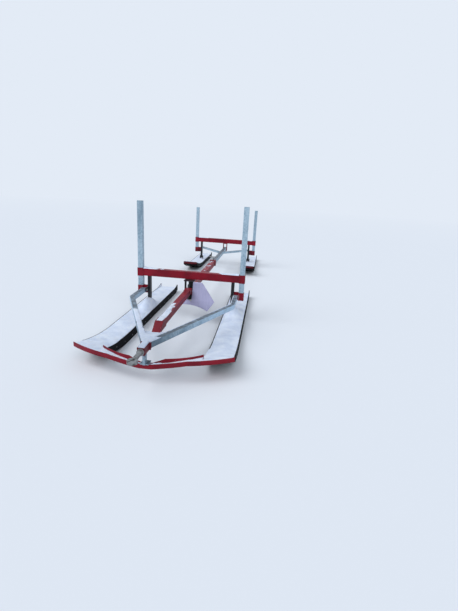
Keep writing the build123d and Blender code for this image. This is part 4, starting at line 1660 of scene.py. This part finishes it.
@dataclass
class ArmSnow(SnowLayer):
    """Broken snow along the flat top of one of the drawbar's arms.

    Attributes:
        wishbone: The drawbar's plan.
        side: Which arm.
    """

    wishbone: Wishbone
    side: Side

    body = "drawbar"
    cells = (220, 16)
    coarse = Ripple(4 * MM, 75, 11.0)
    fine = Ripple(2.5 * MM, 24, 3.0)
    bare = 1.6 * MM

    def __post_init__(self) -> None:
        """Name the piece, and give each arm a coarse pattern of its own."""
        self.name = f"snow_drawbar_arm_{self.side.word}"
        self.coarse = replace(self.coarse, seed=self.coarse.seed * self.side.value)

    def plan(self, u: float, v: float) -> tuple[float, float]:
        """Lines across the arm, from its inner edge to its outer one."""
        (x0, y0), (x1, y1) = self.wishbone.edge(u, -1), self.wishbone.edge(u, 1)
        return self.side.value * (x0 + (x1 - x0) * v), self.wishbone.bunk_y + y0 + (y1 - y0) * v

    def floor(self, x: float, y: float) -> float:
        """The arm's flat top."""
        return self.wishbone.top


@dataclass
class ArmBank(ArmSnow):
    """A thick bank on an arm, with a crust ahead of it and mostly bare zinc behind it.

    Places along the arm are shares of its length from the gusset.

    Attributes:
        bank: The bank.
        crust: How deep the crust is.
        crust_end: Where the crust ends.
        crust_rise: How fast it gets full from the inner edge, for each share of the width.
        worn: How much is worn off behind the bank.
        worn_from: Where that starts.
        fade: The length over which the crust and the worn stretch end and start.
        rough: How much of the unevenness shows.
    """

    bank: Hump = Hump(8 * MM, 0.31, 0.11)
    crust: float = 3.6 * MM
    crust_end: float = 0.22
    crust_rise: float = 4.0
    worn: float = 2 * MM
    worn_from: float = 0.4
    fade: float = 0.06
    rough: float = 0.8

    def depth(self, u: float, v: float, x: float, y: float) -> float:
        """The bank, the crust and patches.

        Args:
            u: The share of the way along the layer.
            v: The share of the way across it.
            x: The place across the sledge.
            y: The place along it.

        Returns:
            The depth.
        """
        crust = self.crust * held((self.crust_end - u) / self.fade) * min(self.crust_rise * v, 1.0)
        worn = self.worn * held((u - self.worn_from) / self.fade)
        full = self.bank.at(u) + crust - worn + self.rough * self.uneven(x, y)
        return full * swell(v, self.sides)


@dataclass
class ArmStrip(ArmSnow):
    """A strip along an arm's inner edge, with a gap in it.

    Attributes:
        strip: How deep the strip is.
        wide: Its width, as a share of the arm's.
        fade: The share of the arm's width over which it ends.
        beyond: How far below bare the rest of the arm is held, in depths of the strip.
        gap: The gap.
        rough: How much of the unevenness shows.
    """

    strip: float = 3.2 * MM
    wide: float = 0.16
    fade: float = 0.07
    beyond: float = 1.6
    gap: Hump = Hump(3 * MM, 0.4, 0.07)
    rough: float = 0.25

    sides = 0.12

    def depth(self, u: float, v: float, x: float, y: float) -> float:
        """The strip, less the gap, and small patches."""
        strip = self.strip * min(max((self.wide - v) / self.fade, -self.beyond), 1.0)
        return (strip - self.gap.at(u) + self.rough * self.uneven(x, y)) * swell(v, self.sides)


@dataclass
class BeamSnow(SnowLayer):
    """Snow along the front of the centre beam, broken up towards the bunk.

    Attributes:
        bunk_y: The front bunk's place along Y.
        front: Where it starts, from the bunk.
        rear: Where it ends, from the bunk.
        half: Half its width.
        thick: Its depth at the front.
        thinning: How the depth falls towards the rear: 1 is even, and less is later.
        lean: How much deeper its left side is than its right one.
        ends: The share of its length over which each of its ends rounds off.
    """

    bunk_y: float
    front: float = -1.056
    rear: float = -0.6
    half: float = 0.0235
    thick: float = 5.5 * MM
    thinning: float = 0.8
    lean: float = 3 * MM
    ends: float = 0.03

    name = "snow_centre_beam"
    body = "drawbar"
    cells = (110, 12)
    coarse = Ripple(3 * MM, 70, 1.0)
    fine = Ripple(2 * MM, 22, 9.0)
    sides = 0.25
    bare = 1.4 * MM

    def __post_init__(self) -> None:
        """Measure what it lies on."""
        self.probe = Probe("centre_beam", "centre_beam_sleeve")

    def plan(self, u: float, v: float) -> tuple[float, float]:
        """Lines across the beam."""
        return self.half * (2 * v - 1), self.bunk_y + self.front + (self.rear - self.front) * u

    def floor(self, x: float, y: float) -> float:
        """The beam or its sleeve."""
        return self.probe.over(x, y)

    def depth(self, u: float, v: float, x: float, y: float) -> float:
        """Thick at the front and on the left, and thinner towards the bunk."""
        thick = self.thick * (1 - u) ** self.thinning + self.lean * (0.5 - v)
        return (thick + self.uneven(x, y)) * swell(v, self.sides) * swell(u, self.ends)


@dataclass
class BunkSnow(SnowLayer):
    """Snow left on a bunk beam, heaped beside one of its stakes.

    Attributes:
        end: Which sledge the beam belongs to.
        side: Which stake the heap lies beside.
        inner_x: Its inner end's distance from the centre line.
        outer_x: Its outer end's distance from there.
        half: Half its width.
        heap: Its depth against the stake.
    """

    end: End
    side: Side
    inner_x: float = 0.27
    outer_x: float = 0.469
    half: float = 0.028
    heap: float = 11 * MM

    cells = (48, 14)
    coarse = Ripple(5 * MM, 60, 6.0)
    fine = Ripple(2 * MM, 20, 8.0)
    bare = 1.5 * MM

    def __post_init__(self) -> None:
        """Measure the beam's top."""
        beam = self.end.node("bunk_beam")
        self.name = f"snow_{beam}_{self.side.word}"
        self.body = self.end.value
        self.middle = middle_y(beam)
        self.top = Probe(beam).over(0.0, self.middle)

    def plan(self, u: float, v: float) -> tuple[float, float]:
        """Lines across the beam."""
        x = self.inner_x + (self.outer_x - self.inner_x) * u
        return self.side.value * x, self.middle + self.half * (2 * v - 1)

    def floor(self, x: float, y: float) -> float:
        """The beam's top."""
        return self.top

    def depth(self, u: float, v: float, x: float, y: float) -> float:
        """Heaped against the stake."""
        return (self.heap * u + self.uneven(x, y)) * swell(v, self.sides)


@dataclass
class PoleSnow(SnowLayer):
    """Thin broken snow on top of the pole's outer tube, from the bunk to the clamp collar.

    Attributes:
        start: Where it starts, from the tube's front end.
        half: Half its width.
        collar_gap: How far it ends ahead of the collar.
        level: The depth that its unevenness adds to.
    """

    start: float = 0.3
    half: float = 0.028
    collar_gap: float = 20 * MM
    level: float = 0.2 * MM

    name = "snow_pole_outer_tube"
    body = "pole"
    cells = (220, 12)
    coarse = Ripple(5 * MM, 110, 4.0)
    fine = Ripple(2 * MM, 30, 2.0)
    bare = 1.6 * MM

    def __post_init__(self) -> None:
        """Measure the tube and the collar."""
        low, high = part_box("pole_outer_tube")
        collar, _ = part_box("pole_clamp_collar")
        self.front, self.rear, self.top = low.y + self.start, collar.y - self.collar_gap, high.z

    def plan(self, u: float, v: float) -> tuple[float, float]:
        """Lines across the tube."""
        return self.half * (2 * v - 1), self.front + (self.rear - self.front) * u

    def floor(self, x: float, y: float) -> float:
        """The tube's top."""
        return self.top

    def depth(self, u: float, v: float, x: float, y: float) -> float:
        """Patches with bare paint between."""
        return (self.level + self.uneven(x, y)) * swell(v, self.sides)


@dataclass
class Welds:
    """Weld beads where the pieces of one body meet, painted with the steel round them.

    Attributes:
        bunk_y: Each bunk's place along Y.
        inset: How far a bead on the bunk's faces ends inside the beam.
        post_half: Half a post's depth.
        sink: How far below a post's top its bead lies.
        sleeve: The width of a stake's sleeve.
        beam_half: Half the beam's depth, with its bead just proud of it.
        foot: The length of the beads at the centre beam's sleeve and the coupler's flange.
        coupler_half: Half the coupler's width.
        flange: How far the coupler's side beads lie ahead of its flange.
        trim: How far they end inside the coupler's height.
    """

    bunk_y: dict[End, float]
    inset: float = 5 * MM
    post_half: float = 20 * MM
    sink: float = 0.5 * MM
    sleeve: float = 58 * MM
    beam_half: float = 30.2 * MM
    foot: float = 40 * MM
    coupler_half: float = 24 * MM
    flange: float = 10 * MM
    trim: float = 2 * MM

    def build(self, palette: Palette) -> None:
        """Lay the beads of the bunks, the drawbar and the rear frame.

        Args:
            palette: The built materials.
        """
        for end in End:
            self.posts(end, palette)
            self.sleeves(end, palette)
        self.coupling(palette)
        self.stays(palette)

    def posts(self, end: End, palette: Palette) -> None:
        """Round each post's head.

        Args:
            end: Which sledge.
            palette: The built materials.
        """
        work = Work(f"welds_{end.node('posts')}")
        front, rear = (self.bunk_y[end] + out * self.post_half for out in (-1, 1))
        for side in Side:
            low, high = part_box(end.node("post", side))
            z = high.z - self.sink
            corners = ((low.x, front), (high.x, front), (high.x, rear), (low.x, rear), (low.x, front))
            work.bead([Vector((x, y, z)) for x, y in corners])
        work.place(end.value, palette, Slot.BLACK)

    def sleeves(self, end: End, palette: Palette) -> None:
        """Down both faces of the bunk beam beside each stake's sleeve.

        Args:
            end: Which sledge.
            palette: The built materials.
        """
        work = Work(f"welds_{end.node('bunk')}")
        low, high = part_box(end.node("bunk_beam"))
        for side in Side:
            x = side.value * (high.x - self.sleeve)
            for out in (-1, 1):
                y = self.bunk_y[end] + out * self.beam_half
                work.seams(((x, y, low.z + self.inset), (x, y, high.z - self.inset)))
        work.place(end.value, palette, Slot.RED)

    def coupling(self, palette: Palette) -> None:
        """Along the sleeve's foot on the gusset, and down the sides of the coupler and its flange.

        Args:
            palette: The built materials.
        """
        work = Work("welds_drawbar")
        low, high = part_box("centre_beam_sleeve")
        for x in (low.x, high.x):
            work.seams(((x, low.y, low.z), (x, low.y + self.foot, low.z)))
        low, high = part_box("coupler_block")
        for x in (low.x, -low.x):
            work.seams(((x, high.y, high.z), (x, high.y, high.z - self.foot)))
        for x in (-self.coupler_half, self.coupler_half):
            y = high.y - self.flange
            work.seams(((x, y, low.z + self.trim), (x, y, high.z - self.trim)))
        work.place("drawbar", palette, Slot.RED)

    def stays(self, palette: Palette) -> None:
        """Where each stay meets the pole and its post, above and below.

        Args:
            palette: The built materials.
        """
        at_pole, at_post = (4 * MM, 32 * MM), (34 * MM, 6 * MM)
        work = Work("welds_rear_stays")
        for side in Side:
            low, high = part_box(f"rear_stay_{side.word}")
            pole_x, post_x = (low.x, high.x) if side is Side.RIGHT else (high.x, low.x)
            for z in (low.z, high.z):
                work.seams(
                    ((pole_x, low.y + at_pole[0], z), (pole_x, low.y + at_pole[1], z)),
                    ((post_x, high.y - at_post[0], z), (post_x, high.y - at_post[1], z)),
                )
        work.place(End.REAR.value, palette, Slot.ZINC)


@dataclass
class Hardware:
    """Bolts, nuts and split pins.

    Attributes:
        bunk_y: Each bunk's place along Y.
        ski_x: A ski's distance from the centre line.
        plate_top: The height of a ski bracket's base plate.
        plate_x: The distance of its bolts from the ski's centre line.
        plate_y: Their distance from the bunk.
        small_mm: The small nuts' width across their flats.
        large_mm: The kingpin nut's width across its flats.
        lip_x: The distance of the deflector's bolts from the centre line.
        lip_z: Their height.
        lip_out: The outward direction of the deflector's face there.
        head: The thickness of a pin's head.
    """

    bunk_y: dict[End, float]
    ski_x: float = 0.415
    plate_top: float = 22 * MM
    plate_x: float = 46 * MM
    plate_y: float = 86 * MM
    small_mm: float = 13.0
    large_mm: float = 30.0
    lip_x: float = 34 * MM
    lip_z: float = 0.209
    lip_out: tuple[float, float, float] = (0.0, -0.83, 0.55)
    head: float = 6 * MM

    def build(self, palette: Palette) -> None:
        """Fit the bolts of brackets and deflector, the kingpin's nut and the split pins.

        Args:
            palette: The built materials.
        """
        for end in End:
            for side in Side:
                self.bracket_bolts(end, side, palette)
        self.deflector_bolts(palette)
        self.kingpin_nut(palette)
        self.split_pins(palette)

    def bracket_bolts(self, end: End, side: Side, palette: Palette) -> None:
        """Four bolts through a ski bracket's base plate.

        Args:
            end: Which sledge.
            side: Which ski.
            palette: The built materials.
        """
        work = Work(f"bolts_{end.node('ski_bracket', side)}")
        for out_x in (-1, 1):
            for out_y in (-1, 1):
                x = side.value * self.ski_x + out_x * self.plate_x
                y = self.bunk_y[end] + out_y * self.plate_y
                work.bolt(Vector((x, y, self.plate_top)), UP, self.small_mm)
        work.place(end.ski_body(side), palette, Slot.PIN)

    def deflector_bolts(self, palette: Palette) -> None:
        """Two bolts through the deflector into the lip of the hanger's floor.

        Args:
            palette: The built materials.
        """
        work = Work("bolts_snow_deflector")
        probe = Probe("snow_deflector")
        ahead = self.bunk_y[End.FRONT] - 0.5
        for x in (-self.lip_x, self.lip_x):
            seat = Vector((x, probe.first_y(x, self.lip_z, ahead), self.lip_z))
            work.bolt(seat, Vector(self.lip_out), self.small_mm)
        work.place(End.FRONT.value, palette, Slot.PIN)

    def kingpin_nut(self, palette: Palette) -> None:
        """Hexagon nut under the kingpin's washer.

        Args:
            palette: The built materials.
        """
        low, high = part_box("kingpin")
        centre = (low + high) / 2
        work = Work("nut_kingpin")
        work.bolt(Vector((centre.x, centre.y, low.z)), -UP, self.large_mm)
        work.place(End.FRONT.value, palette, Slot.PIN)

    def split_pins(self, palette: Palette) -> None:
        """Split pins through the outer heads of the hinge pins, which lie across the sledge.

        Args:
            palette: The built materials.
        """
        for node, body, sides in (
            ("drawbar_pins", End.FRONT.value, (-1, 1)),
            ("pole_pitch_pin", "pole_yoke", (1,)),
            ("rear_ski_pins", End.REAR.value, (-1, 1)),
        ):
            low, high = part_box(node)
            middle = (low + high) / 2
            work = Work(f"split_pins_{node}")
            for side in sides:
                x = middle.x + side * ((high.x - low.x) / 2 - self.head / 2)
                work.split_pin(Vector((x, middle.y, middle.z)), ACROSS, (high.z - low.z) / 2)
            work.place(body, palette, Slot.PIN)


@dataclass(frozen=True)
class Viewpoint:
    """Where the photograph was taken from, and how the camera was held.

    Attributes:
        right: Distance to the right of the sledge's centre line.
        ahead: Distance ahead of the front bunk.
        height: Height over the ground.
        heading_deg: Turn to the left from straight back along the sledge.
        tilt_deg: Tilt below the horizon.
        roll_deg: Turn about the line of sight.
        focal_px: Focal length in pixels of the photograph.
        frame_px: The photograph's height in pixels.
        sensor_mm: The height of the sensor that Blender reckons with.
        sees: The nearest and the farthest distance that it shows.
    """

    right: float = 0.686
    ahead: float = 3.344
    height: float = 1.17
    heading_deg: float = 5.09
    tilt_deg: float = 17.08
    roll_deg: float = 3.4
    focal_px: float = 355.0
    frame_px: float = 611.0
    sensor_mm: float = 36.0
    sees: tuple[float, float] = (0.05, 200.0)

    def build(self, bunk_y: float) -> None:
        """Make the camera.

        Args:
            bunk_y: The front bunk's place along Y.
        """
        data = bpy.data.cameras.new("camera")
        data.sensor_width = self.sensor_mm
        data.lens = self.focal_px / self.frame_px * self.sensor_mm
        data.clip_start, data.clip_end = self.sees
        camera = bpy.data.objects.new("camera", data)
        turn = Matrix.Rotation(math.radians(self.heading_deg), 4, "Z")
        turn @= Matrix.Rotation(math.radians(90 - self.tilt_deg), 4, "X")
        turn @= Matrix.Rotation(math.radians(self.roll_deg), 4, "Z")
        place = Matrix.Translation((self.right, bunk_y - self.ahead, self.height))
        camera.matrix_world = place @ turn
        bpy.context.scene.collection.objects.link(camera)
        bpy.context.scene.camera = camera


@dataclass(frozen=True)
class Studio:
    """A plain pale floor and backdrop under soft even light, as an overcast sky gives.

    The backdrop is the world's own colour where the camera, or a reflection, looks past the floor.

    Attributes:
        floor_colour: The floor's colour.
        backdrop: The backdrop's colour.
        near: The distance at which the floor starts to run into the backdrop.
        far: The distance at which it has become the backdrop.
        reach: Half the floor's width.
        sky_colour: The colour of the light from all round.
        sky_strength: Its strength.
        key_from: The direction that the stronger lamp shines from, seen from the sledge.
        key_strength: Its irradiance in watts for each square metre.
        fill_from: The direction that the weaker lamp shines from.
        fill_strength: Its irradiance in watts for each square metre.
        softness_deg: How wide both lamps look from the sledge.
    """

    floor_colour: str = "e3e9f1"
    backdrop: str = "e3ebf6"
    near: float = 9.0
    far: float = 40.0
    reach: float = 150.0
    sky_colour: str = "e4ebf5"
    sky_strength: float = 0.5
    key_from: tuple[float, float, float] = (-5.0, -3.0, 6.0)
    key_strength: float = 1.7
    fill_from: tuple[float, float, float] = (2.5, -5.0, 4.0)
    fill_strength: float = 0.97
    softness_deg: float = 50.0

    def build(self) -> None:
        """Make the floor, the sky and the two lamps."""
        self.floor()
        self.sky()
        self.lamp("key", self.key_from, self.key_strength)
        self.lamp("fill", self.fill_from, self.fill_strength)

    def floor(self) -> None:
        """Make the floor, wide enough to run out of sight."""
        work = bmesh.new()
        bmesh.ops.create_grid(work, x_segments=1, y_segments=1, size=self.reach)
        data = bpy.data.meshes.new("floor")
        work.to_mesh(data)
        work.free()
        floor = bpy.data.objects.new("floor", data)
        data.materials.append(self.floor_material())
        bpy.context.scene.collection.objects.link(floor)

    def floor_material(self) -> bpy.types.Material:
        """A plain pale floor that keeps shadows and runs into the backdrop far away.

        Returns:
            The material.
        """
        s = Shader("pale_floor")
        distance = s.add("VectorMath", s.place, out="Value", operation="LENGTH")
        away = s.add("MapRange", distance, self.near, self.far)
        share = s.add("Math", away, self.shown(s), operation="MULTIPLY")
        floor = s.add("BsdfDiffuse", {"Color": self.floor_colour})
        backdrop = s.add("Emission", {"Color": self.backdrop, "Strength": 1.0})
        s.add("OutputMaterial", {"Surface": s.add("MixShader", share, floor, backdrop)})
        return s.material

    def shown(self, nodes: Nodes) -> bpy.types.NodeSocket:
        """A mask of the rays that show a background, straight or mirrored in metal.

        Args:
            nodes: The node tree that gets the mask.

        Returns:
            The mask.
        """
        rays = nodes.add("LightPath", out="Is Camera Ray")
        for other in ("Is Glossy Ray", "Is Transmission Ray"):
            rays = nodes.add("Math", rays, nodes.add("LightPath", out=other), operation="MAXIMUM")
        return rays

    def sky(self) -> None:
        """Light from all round, and a plain pale backdrop for the camera and reflections."""
        world = bpy.data.worlds.new("overcast")
        world.use_nodes = True
        nodes = Nodes(world.node_tree)
        nodes.tree.nodes.clear()
        light = nodes.add("Background", {"Color": self.sky_colour, "Strength": self.sky_strength})
        backdrop = nodes.add("Background", {"Color": self.backdrop, "Strength": 1.0})
        mixed = nodes.add("MixShader", self.shown(nodes), light, backdrop)
        nodes.add("OutputWorld", {"Surface": mixed})
        bpy.context.scene.world = world

    def lamp(self, name: str, place: tuple[float, float, float], strength: float) -> None:
        """Add a wide soft light that shines from a place towards the sledge.

        Args:
            name: The lamp's name.
            place: The direction that it shines from, seen from the sledge.
            strength: Its irradiance in watts for each square metre.
        """
        data = bpy.data.lights.new(name, "SUN")
        data.energy = strength
        data.angle = math.radians(self.softness_deg)
        lamp = bpy.data.objects.new(name, data)
        lamp.location = place
        lamp.rotation_euler = (-Vector(place)).to_track_quat("-Z", "Y").to_euler()
        bpy.context.scene.collection.objects.link(lamp)


def main() -> None:
    """Build the looks in order, from the camera to the small things."""
    logging.basicConfig(level=logging.INFO, format="%(message)s")
    bpy.context.scene.view_settings.view_transform = "Standard"
    bunk_y = {end: middle_y(end.node("stake", Side.LEFT)) for end in End}
    Viewpoint().build(bunk_y[End.FRONT])
    Studio().build()
    palette = Palette()
    palette.dress_nodes()
    for end in End:
        for side in Side:
            PanSnow(end, side).build(palette)
            SkiRivets(end, side).build(palette)
        for side in Side:
            BunkSnow(end, side).build(palette)
    CrossbarSnow().build(palette)
    wishbone = Wishbone(bunk_y[End.FRONT])
    GussetSnow(wishbone).build(palette)
    ArmBank(wishbone, Side.LEFT).build(palette)
    ArmStrip(wishbone, Side.RIGHT).build(palette)
    BeamSnow(bunk_y[End.FRONT]).build(palette)
    PoleSnow().build(palette)
    Welds(bunk_y).build(palette)
    Hardware(bunk_y).build(palette)


if __name__ == "__main__":
    main()
